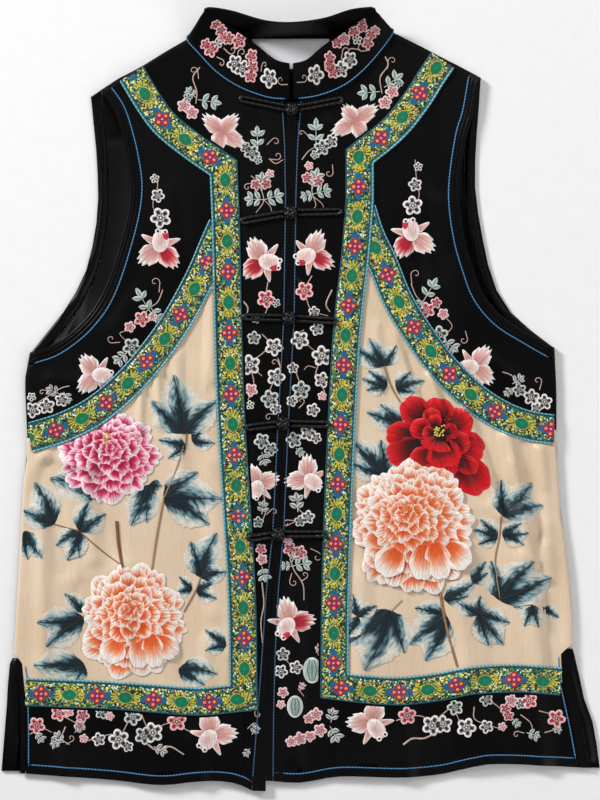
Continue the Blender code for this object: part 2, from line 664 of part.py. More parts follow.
def build_frogs(collection):
    """Each frog: a knot on the front opening, and a doubled cord out to either side of it."""
    for number, frog in enumerate(rows_of(FROG_COLUMNS, FROGS), start=1):
        knot = np.array([frog["knot_x"], frog["knot_y"]], float)
        for side in SIDES:
            end = np.array([frog[f"{side}_x"], frog[f"{side}_y"]], float)
            out = (end - knot) / np.linalg.norm(end - knot)
            beside = np.array([-out[1], out[0]]) * STRAND_OFFSET
            near, far = knot + out * (KNOT_RADIUS + 0.8), end - out * STRAND_OFFSET
            strand = near + np.linspace(0, 1, 7)[:, None] * (far - near)
            angles = np.radians(np.linspace(60, -60, 5))[:, None]
            turn = far + np.cos(angles) * out * STRAND_OFFSET + np.sin(angles) * beside
            hairpin = np.vstack([strand + beside, turn, strand[::-1] - beside])
            cord(f"frog_{number}_{side}_cord", hairpin, cord_height, CORD_RADIUS, "black_satin", collection)
        name = f"frog_{number}_knot"
        mesh = bpy.data.meshes.new(name)
        ball = bmesh.new()
        bmesh.ops.create_icosphere(ball, subdivisions=2, radius=1)
        height = front_height(knot[None])[0] + BOUND_EDGE / 2 + 0.4 + KNOT_HALF_HEIGHT
        for vertex in ball.verts:
            x, y, z = vertex.co
            place = (knot[0] + x * KNOT_RADIUS, knot[1] + y * KNOT_RADIUS, height + z * KNOT_HALF_HEIGHT)
            vertex.co = Vector(place) * MM
        ball.to_mesh(mesh)
        ball.free()
        mesh.shade_smooth()
        add_object(name, mesh, "black_satin", collection)


def main():
    for old in list(bpy.data.objects):
        bpy.data.objects.remove(old, do_unlink=True)
    collection = bpy.data.collections.new("embroidered_waistcoat")
    bpy.context.scene.collection.children.link(collection)
    build_back(collection)
    for side in SIDES:
        build_front(side, collection)
    build_collar(collection)
    build_label(collection)
    build_frogs(collection)


main()
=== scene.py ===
# %% [markdown]
# # An embroidered silk waistcoat, laid out flat
#
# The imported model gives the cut: a back, two fronts in four panels each, a standing collar,
# ribbons, bindings and frogs. This lesson dresses it: satin with its creases, a woven ribbon,
# piping, twisted cords, and embroidery whose threads lie on the cloth.
#
# The model is in metres, with +X to the right of someone who looks down at the waistcoat, +Y
# from the hem to the collar and +Z up. The lesson works in millimetres and scales at the end.
# "Right" and "left" are the wearer's, so the right front lies at -X.

import math

import bmesh
import bpy
import numpy as np
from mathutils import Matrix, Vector


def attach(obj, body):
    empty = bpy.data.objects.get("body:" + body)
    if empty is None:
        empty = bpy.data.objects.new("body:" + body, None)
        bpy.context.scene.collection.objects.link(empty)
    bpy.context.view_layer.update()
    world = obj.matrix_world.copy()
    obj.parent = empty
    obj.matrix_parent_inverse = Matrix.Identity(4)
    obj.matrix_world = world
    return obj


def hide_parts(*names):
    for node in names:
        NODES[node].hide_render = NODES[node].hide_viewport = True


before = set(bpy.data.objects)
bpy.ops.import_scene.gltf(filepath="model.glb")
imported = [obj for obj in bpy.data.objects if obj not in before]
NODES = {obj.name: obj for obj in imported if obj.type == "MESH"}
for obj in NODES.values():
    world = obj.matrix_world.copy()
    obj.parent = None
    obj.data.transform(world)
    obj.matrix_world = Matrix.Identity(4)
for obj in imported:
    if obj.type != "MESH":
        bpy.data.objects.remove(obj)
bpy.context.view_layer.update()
MM = 0.001
print(len(NODES), "nodes in the frame")

# %% [markdown]
# The photo looks straight down on the waistcoat. A long lens keeps it flat: the camera stands
# 4 m up, and the sensor is chosen so that the picture is 570 mm wide and 760 mm high.

# %% Camera
PIXEL = 0.95  # millimetres of cloth to a pixel of the photo
PHOTO_MIDDLE = (300.6, 400.2)
PHOTO_WIDTH, PHOTO_HEIGHT = 600, 800
CAMERA_HEIGHT = 4000.0


def spot(x, y):
    """The place on the cloth, in millimetres, of a pixel of the photo."""
    return np.array([(x - PHOTO_MIDDLE[0]) * PIXEL, (PHOTO_MIDDLE[1] - y) * PIXEL])


lens = bpy.data.cameras.new("photo_camera")
lens.sensor_fit = "VERTICAL"
lens.sensor_height = 24.0
lens.lens = 24.0 * CAMERA_HEIGHT / (PHOTO_HEIGHT * PIXEL)
lens.clip_end = 20
camera = bpy.data.objects.new("photo_camera", lens)
bpy.context.scene.collection.objects.link(camera)
middle = spot(PHOTO_WIDTH / 2, PHOTO_HEIGHT / 2)
camera.location = Vector((middle[0], middle[1], CAMERA_HEIGHT)) * MM
bpy.context.scene.camera = camera
print("camera", tuple(round(value, 3) for value in camera.location))

# %% [markdown]
# A few helpers serve every material. One turns an sRGB hex value, as a colour picker shows it,
# into the linear values that shaders use. One adds a node with its settings and links, and the
# last gives the finished surface, since every cloth here is a coloured gloss with a fine bump.

# %% Helpers for materials
def linear(hex_code):
    """The linear colour of an sRGB hex value."""
    parts = [int(hex_code[at : at + 2], 16) / 255 for at in (1, 3, 5)]
    return [part / 12.92 if part <= 0.04045 else ((part + 0.055) / 1.055) ** 2.4 for part in parts] + [1]


def add(tree, kind, inputs=None, stops=None, **settings):
    """Adds a node. inputs names its sockets, each with a value or another node's output."""
    node = tree.nodes.new(kind)
    for name, value in settings.items():
        setattr(node, name, value)
    if stops:
        while len(node.color_ramp.elements) < len(stops):
            node.color_ramp.elements.new(1)
        for element, (place, colour) in zip(node.color_ramp.elements, stops):
            element.position, element.color = place, linear(colour)
    for socket, value in (inputs or {}).items():
        if isinstance(value, bpy.types.NodeSocket):
            tree.links.new(value, node.inputs[socket])
        else:
            node.inputs[socket].default_value = value
    return node


def new_material(name):
    """An empty material: its node tree, and the socket that takes its surface."""
    made = bpy.data.materials.new(name)
    made.use_nodes = True
    made.node_tree.nodes.clear()
    output = made.node_tree.nodes.new("ShaderNodeOutputMaterial")
    return made, made.node_tree, output.inputs["Surface"]


def cover(tree, surface, colour, roughness, bump, sockets):
    """Gives a material its surface. The bump is a height's output, a strength and a depth in millimetres."""
    height, strength, depth = bump
    raised = add(tree, "ShaderNodeBump", {"Height": height, "Strength": strength, "Distance": depth * MM})
    look = {"Base Color": colour, "Roughness": roughness, "Normal": raised.outputs["Normal"], **sockets}
    tree.links.new(add(tree, "ShaderNodeBsdfPrincipled", look).outputs[0], surface)


# %% [markdown]
# ## The cut
#
# These are the lines of the pattern as it lies, in millimetres. They are the same lines that
# the model was built from, so that whatever is laid along them meets it.

# %% Lines of the two fronts
RIGHT = {
    "shoulder": ((-107, 342), (-124, 332.5), (-149, 317), (-172, 305), (-199, 287)),
    "neck": ((-107, 342), (-86, 318), (-57, 297), (-31, 288), (-13.5, 286)),
    "armhole": (
        (-190, 293), (-178, 276), (-171, 257), (-164, 228), (-161, 199),
        (-167, 163), (-185, 107), (-205, 76), (-232, 54), (-256, 45),
    ),
    "side": ((-256, 45), (-261, 19), (-258, -50), (-262, -77), (-266, -150), (-271, -240)),
    "slit": ((-271, -240), (-267, -266), (-266, -313), (-266, -356)),
    "hem": (
        (-45, -371), (-54, -366), (-70, -362), (-96, -361.5), (-133, -365),
        (-184, -360), (-266, -354),
    ),
    "strap": ((-160, 311), (-141, 280), (-126, 261), (-101, 241), (-72, 221)),
    "yoke_border": ((-72, 221), (-70, 174)),
    "front_border": ((-70, 174), (-66, 10), (-59.5, -101), (-54.5, -190), (-53, -283)),
    "hem_border": ((-53, -283), (-97, -287), (-140, -284), (-184, -281), (-261, -278)),
    "arc": (
        (-70, 174), (-82, 147), (-94, 119), (-113, 83), (-132, 54),
        (-160, 20), (-192, -8), (-224, -25), (-258.6, -36),
    ),
}
LEFT = {
    "shoulder": ((86, 349), (118, 333), (145, 319), (162, 310), (171, 305)),
    "neck": ((86, 349), (66, 319), (39, 298), (15, 290), (-4, 286)),
    "armhole": (
        (170, 305.5), (164, 272), (157, 247), (151, 199), (155, 158),
        (164, 125), (174, 100), (192, 79), (219, 62), (240, 50),
    ),
    "side": (
        (240, 50), (242, 10), (242, -50), (246, -110), (253, -155), (257, -200), (257, -231),
    ),
    "slit": ((257, -231), (258, -266), (268, -311), (275, -349)),
    "hem": (
        (-32.5, -361), (0, -363), (38, -357), (93, -358), (133, -355),
        (163, -348), (191, -345), (275, -349),
    ),
    "strap": ((134.5, 324), (123, 307), (109, 285), (87, 258), (55, 232)),
    "yoke_border": ((55, 232), (55, 190)),
    "front_border": (
        (55, 190), (51, 139), (42.5, 59), (36, -65), (32, -180), (31, -272),
    ),
    "hem_border": (
        (31, -272), (58, -275), (94, -277), (133, -273), (163, -267), (207, -265), (247, -268),
    ),
    "arc": (
        (55, 190), (65, 158), (78, 130), (92, 96), (110, 66),
        (134, 33), (163, 4), (190, -14), (216, -24), (242, -28),
    ),
}
SIDES = {"right": RIGHT, "left": LEFT}
INWARD = {"right": 1, "left": -1}
# The front edge, from the neck down, and the width of its binding on either side.
OPENING_COLUMNS = ("y", "x", "right", "left")
OPENING = (
    (287, -8.5, 4.5, 4.5),
    (178, -9.5, 4.5, 4.5),
    (77, -11.0, 4.5, 4.5),
    (-22, -16.5, 4.5, 4.5),
    (-127, -21.5, 4.5, 5.0),
    (-180, -27.0, 5.0, 5.5),
    (-240, -30.5, 5.5, 6.0),
    (-300, -32.5, 8.0, 6.5),
    (-371, -33.0, 13.0, 6.5),
)
HALF_RIBBON, HALF_CLOTH = 12.0, 0.9
CLEAR_OF_BORDER = 14.8  # the least distance of an arc ribbon's end from the border's middle line
SHORT_OF_FOLD = 0.8  # how far the work on a front stops from its side fold
RIBBON_TO_SLIT = {"right": 4.2, "left": 9.8}
SLIT_BINDING = {"right": 7.5, "left": 12.0}

# %% [markdown]
# A few small functions work on lines of points: a smooth curve through them, even steps along
# it, a parallel line beside it, and the distance of a point from it.

# %% Helpers for lines
def shares_of(line):
    """How far along a line each of its points is, from 0 to 1."""
    along = np.concatenate([[0], np.cumsum(np.linalg.norm(np.diff(line, axis=0), axis=1))])
    return along / along[-1]


def length_of(line):
    return float(np.linalg.norm(np.diff(line, axis=0), axis=1).sum())


def resample(line, shares):
    """The points at these shares of a line's length."""
    line = np.asarray(line, float)
    return np.stack([np.interp(shares, shares_of(line), values) for values in line.T], axis=1)


def walk(line, step):
    """Points about one step apart along a line."""
    return resample(line, np.linspace(0, 1, max(2, int(length_of(line) / step) + 1)))


def smooth(points, samples=8):
    """A close polyline along the Catmull-Rom curve through the points."""
    points = np.asarray(points, float)
    knots = np.vstack([2 * points[0] - points[1], points, 2 * points[-1] - points[-2]])
    t = (np.arange(1, samples + 1) / samples)[:, None]
    made = [points[:1]]
    for a, b, c, d in zip(knots, knots[1:], knots[2:], knots[3:]):
        square, cube = 2 * a - 5 * b + 4 * c - d, 3 * (b - c) - a + d
        made.append(0.5 * (2 * b + (c - a) * t + square * t**2 + cube * t**3))
    return np.vstack(made)


def joined(*lines):
    """Lines end to end, with each shared end once."""
    return np.vstack([lines[0], *[line[1:] for line in lines[1:]]])


def normals_of(line):
    """The direction to a line's left at each of its points, long enough to keep a mitre's width."""
    run = np.diff(line, axis=0)
    run = run / np.linalg.norm(run, axis=1)[:, None]
    left = np.stack([-run[:, 1], run[:, 0]], axis=1)
    before, after = np.vstack([left[:1], left]), np.vstack([left, left[-1:]])
    mitre = before + after
    return mitre / np.maximum((mitre * after).sum(axis=1), 0.4)[:, None]


def distance_to(points, line):
    """The distance of each point from a polyline."""
    line = np.asarray(line, float)
    found = np.full(len(points), np.inf)
    for start, end in zip(line, line[1:]):
        run = end - start
        share = np.clip((points - start) @ run / (run @ run), 0, 1)
        found = np.minimum(found, np.linalg.norm(points - start - share[:, None] * run, axis=1))
    return found


def nearest_of(points, lines):
    """The distance of each point from the nearest of several polylines."""
    return np.min([distance_to(points, line) for line in lines], axis=0)


# %% [markdown]
# ## How the cloth lies
#
# The fronts rest on the back, and rise a little at the folds, the neck and the armholes. The
# model has these heights and its largest folds. The creases below are finer: gathers that fan
# out under the curved ribbon, soft pulls down the satin, and dents between the frogs. Each is
# one ridge (a positive height) or one trough (a negative one).

# %% Heights of the fronts
FOLD_COLUMNS = ("x1", "y1", "x2", "y2", "half_width", "height")
MODEL_FOLDS = (
    (-52, -130, -54, -380, 28, 2.4), (-135, -240, -133, -370, 32, 2.4), (178, -150, 180, -360, 34, 4.0),
    (70, -250, 60, -370, 30, 2.0), (190, -50, 205, -170, 24, 1.6), (-225, -70, -215, -190, 24, 1.6),
)
CREASES = (
    (88, 62, 118, -20, 5, 1.0), (106, 40, 140, -50, 5, -1.0), (122, 22, 158, -70, 5, 1.3),
    (140, 4, 176, -90, 6, -1.1), (156, -10, 190, -110, 5, 1.5), (176, -24, 206, -140, 6, -1.2),
    (196, -34, 222, -150, 6, 1.4), (214, -42, 234, -130, 6, -0.8), (230, -48, 238, -170, 6, 1.0),
    (72, 70, 76, 10, 5, 0.7), (58, 60, 56, -40, 6, -0.6), (205, -110, 226, -250, 11, 1.6),
    (176, -120, 188, -255, 12, -1.3), (222, -130, 244, -240, 8, -1.2), (150, -180, 158, -262, 9, 1.0),
    (120, -190, 122, -268, 9, -0.9), (60, -160, 56, -268, 8, 0.8), (-84, 116, -86, 20, 6, 0.8),
    (-100, 84, -104, -30, 7, -0.7), (-118, 40, -112, -80, 7, 0.7), (-190, -30, -176, -130, 8, -0.8),
    (-208, -38, -196, -150, 8, 0.9), (-236, -46, -226, -160, 9, -0.7), (-246, -100, -244, -250, 8, 1.0),
    (-150, -60, -140, -170, 10, -0.7), (-84, -60, -80, -200, 10, 0.8),
    (-110, -120, -104, -262, 12, -0.9), (-170, -160, -166, -268, 10, 0.9),
    (-206, -180, -212, -270, 9, -0.8), (-250, -52, -200, -64, 6, 0.9), (-68, -60, -66, -240, 6, 0.6),
    (-90, -230, -92, -275, 8, 0.7), (-200, 250, -206, 120, 9, 0.6), (-184, 80, -150, 130, 9, -0.6),
    (-120, 200, -112, 130, 10, 0.5), (100, 250, 104, 150, 10, 0.6), (128, 300, 132, 200, 9, -0.5),
    (120, 190, 128, 110, 10, 0.6), (176, 40, 214, 10, 8, 0.6), (-236, 20, -200, 16, 8, 0.6),
    (-100, -320, -96, -362, 9, 0.9), (-170, -300, -172, -358, 10, -0.9),
    (-218, -300, -224, -356, 9, 0.8), (20, -290, 16, -362, 10, -0.8), (98, -290, 100, -356, 10, 0.9),
    (138, -290, 140, -352, 9, -0.9), (222, -290, 228, -346, 11, 1.2), (-36, 150, -34, 60, 7, -0.6),
    (14, 150, 12, 60, 8, 0.5), (-40, -40, -44, -120, 7, 0.6), (8, -40, 4, -160, 8, -0.5),
    (-151, 8, -153, -30, 4, 0.7), (-144, 18, -143, -28, 4, -0.6), (-136, 28, -134, -22, 4, 0.7),
    (-128, 38, -123, 0, 4, -0.5), (-256, -66, -238, -46, 5, 0.7), (-258, -90, -232, -60, 6, -0.6),
    (-196, -22, -190, -60, 5, 0.6), (-214, -30, -212, -70, 5, -0.5), (226, -46, 232, -80, 5, 0.7),
    (236, -120, 222, -200, 8, 0.8), (246, -160, 238, -260, 7, -0.7), (200, -60, 196, -120, 6, 0.6),
    (-4, -180, -6, -340, 9, 0.7), (14, -200, 16, -300, 8, -0.5), (-44, 262, -30, 190, 7, -0.4),
    (26, 262, 18, 190, 7, 0.4),
)
FOLD_LINES = [np.array(side[name], float) for side in SIDES.values() for name in ("shoulder", "side")]
ARMHOLES = [smooth(side["armhole"]) for side in SIDES.values()]
NECKS = [smooth(side["neck"]) for side in SIDES.values()]
SEAM_HEIGHT, FOLD_TOP, FRONT_REST, LOWEST = 3.55, 5.2, 3.4, 3.0
ROLL, SETTLE = 2.2, 30.0  # the radius of a fold's roll, and how far from it the cloth comes to rest
ARMHOLE_LIFT, NECK_LIFT, LIFT_WIDTH = 3.2, 1.6, 32
CREASE_DEPTH, FULL_CREASE = 3.8, 20  # scale of the creases, and their full depth's distance from a fold


def ridges(points, table):
    """The summed height of the ridges and troughs in a table."""
    total = np.zeros(len(points))
    for fold in (dict(zip(FOLD_COLUMNS, row)) for row in table):
        line = ((fold["x1"], fold["y1"]), (fold["x2"], fold["y2"]))
        total += fold["height"] * np.exp(-((distance_to(points, line) / fold["half_width"]) ** 2))
    return total


def plain_height(points, creases=()):
    """Height of the middle of the fronts' cloth above the table, at each (x, y)."""
    points = np.asarray(points, float).reshape(-1, 2)
    from_fold = nearest_of(points, FOLD_LINES)
    away = 1 - np.exp(-from_fold / SETTLE)
    lift = ARMHOLE_LIFT * np.exp(-((nearest_of(points, ARMHOLES) / LIFT_WIDTH) ** 2))
    lift += NECK_LIFT * np.exp(-((nearest_of(points, NECKS) / LIFT_WIDTH) ** 2)) + ridges(points, MODEL_FOLDS)
    height = FRONT_REST + (FOLD_TOP - FRONT_REST) * (1 - away) + lift * away
    height += CREASE_DEPTH * ridges(points, creases) * np.clip(from_fold / FULL_CREASE, 0, 1)
    rolled = np.sqrt(1 - (1 - np.clip(from_fold / ROLL, 0, 1)) ** 2)
    return SEAM_HEIGHT + (np.maximum(height, LOWEST) - SEAM_HEIGHT) * rolled


def cloth_height(points):
    """The same height with the fine creases."""
    return plain_height(points, CREASES)


print("cloth height at the middle of the left front:", cloth_height([(120, -100)]).round(2), "mm")

# %% [markdown]
# ## Silk and satin
#
# The body is satin: long threads float over the weave, all one way, so it shines in soft bands
# along every crease. Real satin has 40 or more threads to the centimetre, too fine to show here,
# so the bump is drawn as streaks about 1 mm wide that run down the cloth. One function makes
# the three satins, since they differ only in dye, gloss and how much the streaks vary.

# %% Satin materials
def satin(name, dark, light, roughness, sheen, streak_depth, gloss=0.15):
    """Silk satin: warp streaks about 1 mm wide, and a slow change of tone over 60 mm."""
    made, tree, surface = new_material(name)
    place = add(tree, "ShaderNodeTexCoord").outputs["Object"]
    down = add(tree, "ShaderNodeMapping", {"Vector": place, "Scale": (1000, 45, 1000)}).outputs["Vector"]
    warp = add(tree, "ShaderNodeTexNoise", {"Vector": down, "Scale": 1.0, "Detail": 3, "Roughness": 0.6})
    slow = add(tree, "ShaderNodeTexNoise", {"Vector": place, "Scale": 16.0, "Detail": 2})
    mixed = add(tree, "ShaderNodeMix", {0: 0.55, 2: warp.outputs["Fac"], 3: slow.outputs["Fac"]}).outputs[0]
    tone = add(tree, "ShaderNodeValToRGB", {"Fac": mixed}, stops=((0.3, dark), (0.7, light)))
    shine = {"Sheen Weight": sheen, "Sheen Roughness": 0.4, "Specular IOR Level": gloss, "Anisotropic": 0.4}
    streaks = (warp.outputs["Fac"], 0.35, streak_depth)
    cover(tree, surface, tone.outputs["Color"], roughness, streaks, shine)
    return made


BLACK_SILK = satin("black_silk_satin", "#020102", "#070607", 0.5, 0.0, 0.05, 0.1)
CREAM_SILK = satin("cream_silk_satin", "#d9bd9e", "#ecd7bc", 0.34, 0.15, 0.06, 0.4)
BOUND_SATIN = satin("black_binding_satin", "#030203", "#0a080b", 0.33, 0.0, 0.08)

# %% [markdown]
# ## The cloth of the body
#
# Each panel of the model is a plain wall with few faces. A finer copy takes its place: its
# corners are welded, its faces are cut up, and every point not in a fold's roll is set back on
# the smooth height of the cloth, creases and all, on its own side of the wall.

# %% Panels
EDGE_ANGLE = math.radians(50)  # faces that meet at more than this keep a sharp edge


def show(name, mesh, finish, node=None):
    """Puts a mesh in the scene on the root body, in the place of a model node where one is named."""
    mesh.materials.append(finish)
    made = bpy.data.objects.new(name, mesh)
    bpy.context.scene.collection.objects.link(made)
    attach(made, "root")
    if node:
        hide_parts(node)
    return made


def refined(node, cuts, finish, half=HALF_CLOTH, creased=True):
    """A finer copy of a model node that follows the creases, in the node's place."""
    mesh = NODES[node].data.copy()
    shape = bmesh.new()
    shape.from_mesh(mesh)
    bmesh.ops.remove_doubles(shape, verts=shape.verts, dist=1e-6)
    bmesh.ops.join_triangles(
        shape, faces=shape.faces,
        angle_face_threshold=EDGE_ANGLE, angle_shape_threshold=math.radians(60),
    )
    bmesh.ops.subdivide_edges(shape, edges=shape.edges, cuts=cuts, use_grid_fill=True)
    shape.to_mesh(mesh)
    shape.free()
    count = len(mesh.vertices)
    places = np.empty(count * 3)
    mesh.vertices.foreach_get("co", places)
    places = places.reshape(-1, 3) / MM
    if creased:
        plain, fine = plain_height(places[:, :2]), cloth_height(places[:, :2])
        free = nearest_of(places[:, :2], FOLD_LINES) > ROLL + half
        above = places[:, 2] - plain
        above = np.where(np.abs(above) > half / 2, np.sign(above) * half, above)
        places[:, 2] = np.where(free, fine + above, places[:, 2])
    mesh.vertices.foreach_set("co", (places * MM).ravel())
    mesh.materials.clear()
    mesh.shade_smooth()
    mesh.set_sharp_from_angle(angle=EDGE_ANGLE)
    show(f"{node}_cloth", mesh, finish, node)


for side in SIDES:
    refined(f"{side}_cream_panel", 7, CREAM_SILK)
    for name in ("armhole_panel", "placket_panel", "hem_band"):
        refined(f"{side}_{name}", 4, BLACK_SILK)
    for name in ("armhole_binding", "front_edge_binding", "hem_binding", "slit_binding"):
        refined(f"{side}_{name}", 3, BOUND_SATIN, half=1.0)
    for name in ("back_armhole_binding", "back_slit_binding"):
        refined(f"{side}_{name}", 1, BOUND_SATIN, creased=False)
refined("back", 1, BLACK_SILK, creased=False)

# %% [markdown]
# ## The woven ribbon
#
# The borders are a jacquard ribbon 24 mm wide. Its ground is a fine speckle of yellow, green
# and black threads; its motifs come in turn every 28 mm or so: a plum flower on a blue diamond, and
# an emerald between two yellow palmettes. The ground is a shader pattern on the ribbon's
# own length and width. The motifs are thin raised patches, since the real ones stand up too.

# %% A mesh of small patches
def new_work():
    """A growing mesh of points (x, y, lift above the cloth), each with a colour and a thread place."""
    return {"points": [], "colours": [], "threads": [], "faces": [], "count": 0}


def patch(work, flat, lift, colours, threads=None):
    """Adds a grid of rows and columns of points. Thread places run across and along, in millimetres."""
    rows, columns = flat.shape[:2]
    index = work["count"] + np.arange(rows * columns).reshape(rows, columns)
    corners = np.stack([index[:-1, :-1], index[:-1, 1:], index[1:, 1:], index[1:, :-1]], axis=2)
    a, b = flat[0, -1] - flat[0, 0], flat[-1, 0] - flat[0, 0]
    a = a if np.linalg.norm(a) > 1e-6 else flat[-1, -1] - flat[-1, 0]
    if a[0] * b[1] - a[1] * b[0] < 0:
        corners = corners[:, :, ::-1]
    shape = (rows, columns)
    work["points"].append(np.dstack([flat, np.broadcast_to(lift, shape)]).reshape(-1, 3))
    work["colours"].append(np.broadcast_to(np.asarray(colours, float), (*shape, 3)).reshape(-1, 3))
    if threads is None:
        threads = flat
    work["threads"].append(np.broadcast_to(threads, (*shape, 2)).reshape(-1, 2))
    work["faces"].append(corners.reshape(-1, 4))
    work["count"] += rows * columns


def lay_on_fronts(points):
    """Places on the fronts: the given lift above the cloth's upper face."""
    return np.column_stack([points[:, :2], cloth_height(points[:, :2]) + HALF_CLOTH + points[:, 2]])


def finish_work(work, name, finish, lay=lay_on_fronts, node=None):
    """Makes one mesh of the patches, laid on its surface, with each point's own colour."""
    points = lay(np.vstack(work["points"]))
    faces = np.vstack(work["faces"])
    mesh = bpy.data.meshes.new(name)
    mesh.from_pydata((points * MM).tolist(), [], faces.tolist())
    colours = np.hstack([np.vstack(work["colours"]), np.ones((len(points), 1))])
    dye = mesh.color_attributes.new("thread_colour", "FLOAT_COLOR", "POINT")
    dye.data.foreach_set("color", colours.ravel())
    threads = np.vstack(work["threads"])[faces.ravel()]
    mesh.uv_layers.new(name="threads").data.foreach_set("uv", threads.ravel())
    mesh.shade_smooth()
    print(name, len(faces), "faces")
    return show(name, mesh, finish, node)


def tint(hex_code):
    """A thread's linear colour."""
    return np.array(linear(hex_code)[:3])


def disc(middle, half_length, half_width, turn=0.0, n=5):
    """A grid that fills an ellipse."""
    a, b = np.meshgrid(np.linspace(-1, 1, n), np.linspace(-1, 1, n))
    x, y = a * np.sqrt(1 - b**2 / 2) * half_length, b * np.sqrt(1 - a**2 / 2) * half_width
    cos, sin = math.cos(turn), math.sin(turn)
    return np.stack([middle[0] + x * cos - y * sin, middle[1] + x * sin + y * cos], axis=2)


def dome(n=5):
    """Heights over a disc: 1 in the middle, 0 at the rim."""
    a = np.linspace(-1, 1, n)
    return (1 - a[:, None] ** 2) * (1 - a[None] ** 2)


def rim_of(n):
    """How near each point of a disc's grid is to the rim: 0 in the middle, 1 at the rim."""
    across = np.abs(np.linspace(-1, 1, n))
    return np.maximum(across[:, None], across[None])


def dot(work, middle, half_length, half_width, colour, lift, rise=0.0, turn=0.0, n=5):
    """An ellipse of one colour, higher in the middle by a rise."""
    patch(work, disc(middle, half_length, half_width, turn, n), lift + rise * dome(n), tint(colour))


def diamond(middle, half_length, half_width, n=3):
    """A grid that fills a diamond."""
    a, b = np.meshgrid(np.linspace(-1, 1, n), np.linspace(-1, 1, n))
    return np.stack([middle[0] + (a + b) / 2 * half_length, middle[1] + (a - b) / 2 * half_width], axis=2)


chance = np.random.default_rng(7)


def strand_line(work, line, radius, hex_code, lift=0.3, taper=0.5):
    """A raised line of thread along a line, thinner at its end."""
    line = walk(line, 1.6)
    share = np.linspace(0, 1, len(line))[:, None]
    reach = radius * (1 - taper * share**2)
    across = np.array([-1, -0.6, 0, 0.6, 1])
    flat = line[:, None] + across[None, :, None] * (normals_of(line) * reach)[:, None]
    colours = tint(hex_code) * chance.uniform(0.85, 1.1, len(line))[:, None, None]
    rise = lift + reach * (1 - across**2)[None]
    along = share * length_of(line)
    threads = np.stack(np.broadcast_arrays(along, across[None]), axis=2)
    patch(work, flat, rise, colours, threads)


# %% Material of the ribbon's ground
def jacquard():
    """The ribbon's ground: a speckle of coloured threads about 1.2 mm apart."""
    made, tree, surface = new_material("jacquard_ribbon")
    uv = add(tree, "ShaderNodeUVMap", uv_map="threads").outputs["UV"]
    speckle = {"Vector": uv, "Scale": 0.78, "Randomness": 0.9}
    cells = add(tree, "ShaderNodeTexVoronoi", speckle, voronoi_dimensions="2D")
    pick = add(tree, "ShaderNodeSeparateColor", {"Color": cells.outputs["Color"]}).outputs["Red"]
    ground = add(
        tree, "ShaderNodeValToRGB", {"Fac": pick},
        stops=(
            (0.0, "#07120f"), (0.26, "#1c6a50"), (0.41, "#d8d43c"), (0.54, "#3f8a52"),
            (0.66, "#fbf8cc"), (0.73, "#07120f"), (0.85, "#2a8f9e"), (0.94, "#c8782a"),
        ),
    )
    ground.color_ramp.interpolation = "CONSTANT"
    waves = {"Vector": uv, "Scale": 0.35, "Distortion": 0.6}
    weft = add(tree, "ShaderNodeTexWave", waves, bands_direction="Y")
    relief = (weft.outputs["Fac"], 0.4, 0.15)
    cover(tree, surface, ground.outputs["Color"], 0.55, relief, {"Sheen Weight": 0.15})
    return made


def floss(name, roughness, sheen, depth):
    """Embroidery silk: each patch has its own colour, in streaks that follow the thread."""
    made, tree, surface = new_material(name)
    uv = add(tree, "ShaderNodeUVMap", uv_map="threads").outputs["UV"]
    colour = add(tree, "ShaderNodeVertexColor", layer_name="thread_colour").outputs["Color"]
    lengthways = add(tree, "ShaderNodeMapping", {"Vector": uv, "Scale": (1.6, 0.12, 1)}).outputs["Vector"]
    noise = {"Vector": lengthways, "Scale": 1.0, "Detail": 2}
    streak = add(tree, "ShaderNodeTexNoise", noise, noise_dimensions="2D")
    spread = {"Value": streak.outputs["Fac"], 1: 0.3, 2: 0.7, 3: 0.72, 4: 1.18}
    shade = add(tree, "ShaderNodeMapRange", spread)
    toned = add(tree, "ShaderNodeVectorMath", {0: colour}, operation="SCALE")
    tree.links.new(shade.outputs["Result"], toned.inputs["Scale"])
    shine = {"Sheen Weight": sheen, "Specular IOR Level": 0.3}
    cover(tree, surface, toned.outputs["Vector"], roughness, (streak.outputs["Fac"], 0.5, depth), shine)
    return made


JACQUARD = jacquard()
FLOSS = floss("embroidery_floss", 0.45, 0.08, 0.2)
WOVEN = floss("woven_motif_thread", 0.5, 0.1, 0.1)

# %% Ribbons and their motifs
# Across the ribbon, and its lift there above the cloth.
RIBBON_EDGE = (-HALF_RIBBON, -11.6, -6, 0, 6, 11.6, HALF_RIBBON)
RIBBON_LIFT = (0.3, 1.2, 1.3, 1.35, 1.3, 1.2, 0.3)
YELLOW, GOLD, BLUE, VIOLET = "#cdbb36", "#c89a30", "#1a648c", "#7c3c8e"
CRIMSON, AMBER, BLUSH = "#a41a48", "#f4a04a", "#e9a8a0"
OUTLINE, EMERALD, GLINT, SELVEDGE = "#c8be52", "#077852", "#12886c", "#14586a"
UNDER_BORDER, HIDDEN = 14.5, -1.5  # motifs nearer than this to the border's middle line go below the cloth


def flower_unit(draw, s):
    """The plum flower on its blue diamond."""
    for ds in (-9.6, 9.6):
        draw(disc((s + ds, 0), 3.4, 3.2), 1.4, BLUE)
    draw(diamond((s, 0), 12.6, 8.2), 1.45, BLUE)
    draw(disc((s, 0), 5.4, 5.4), 1.5, VIOLET)
    for ds, dt in ((4.6, 0), (-4.6, 0), (0, 4.6), (0, -4.6)):
        draw(disc((s + ds, dt), 3.3, 3.3), 1.5 + 0.4 * dome(), CRIMSON)
        draw(disc((s + ds, dt), 1.5, 1.4), 1.9 + 0.2 * dome(), AMBER)
    draw(disc((s, 0), 1.1, 1.1), 1.9 + 0.2 * dome(), BLUSH)


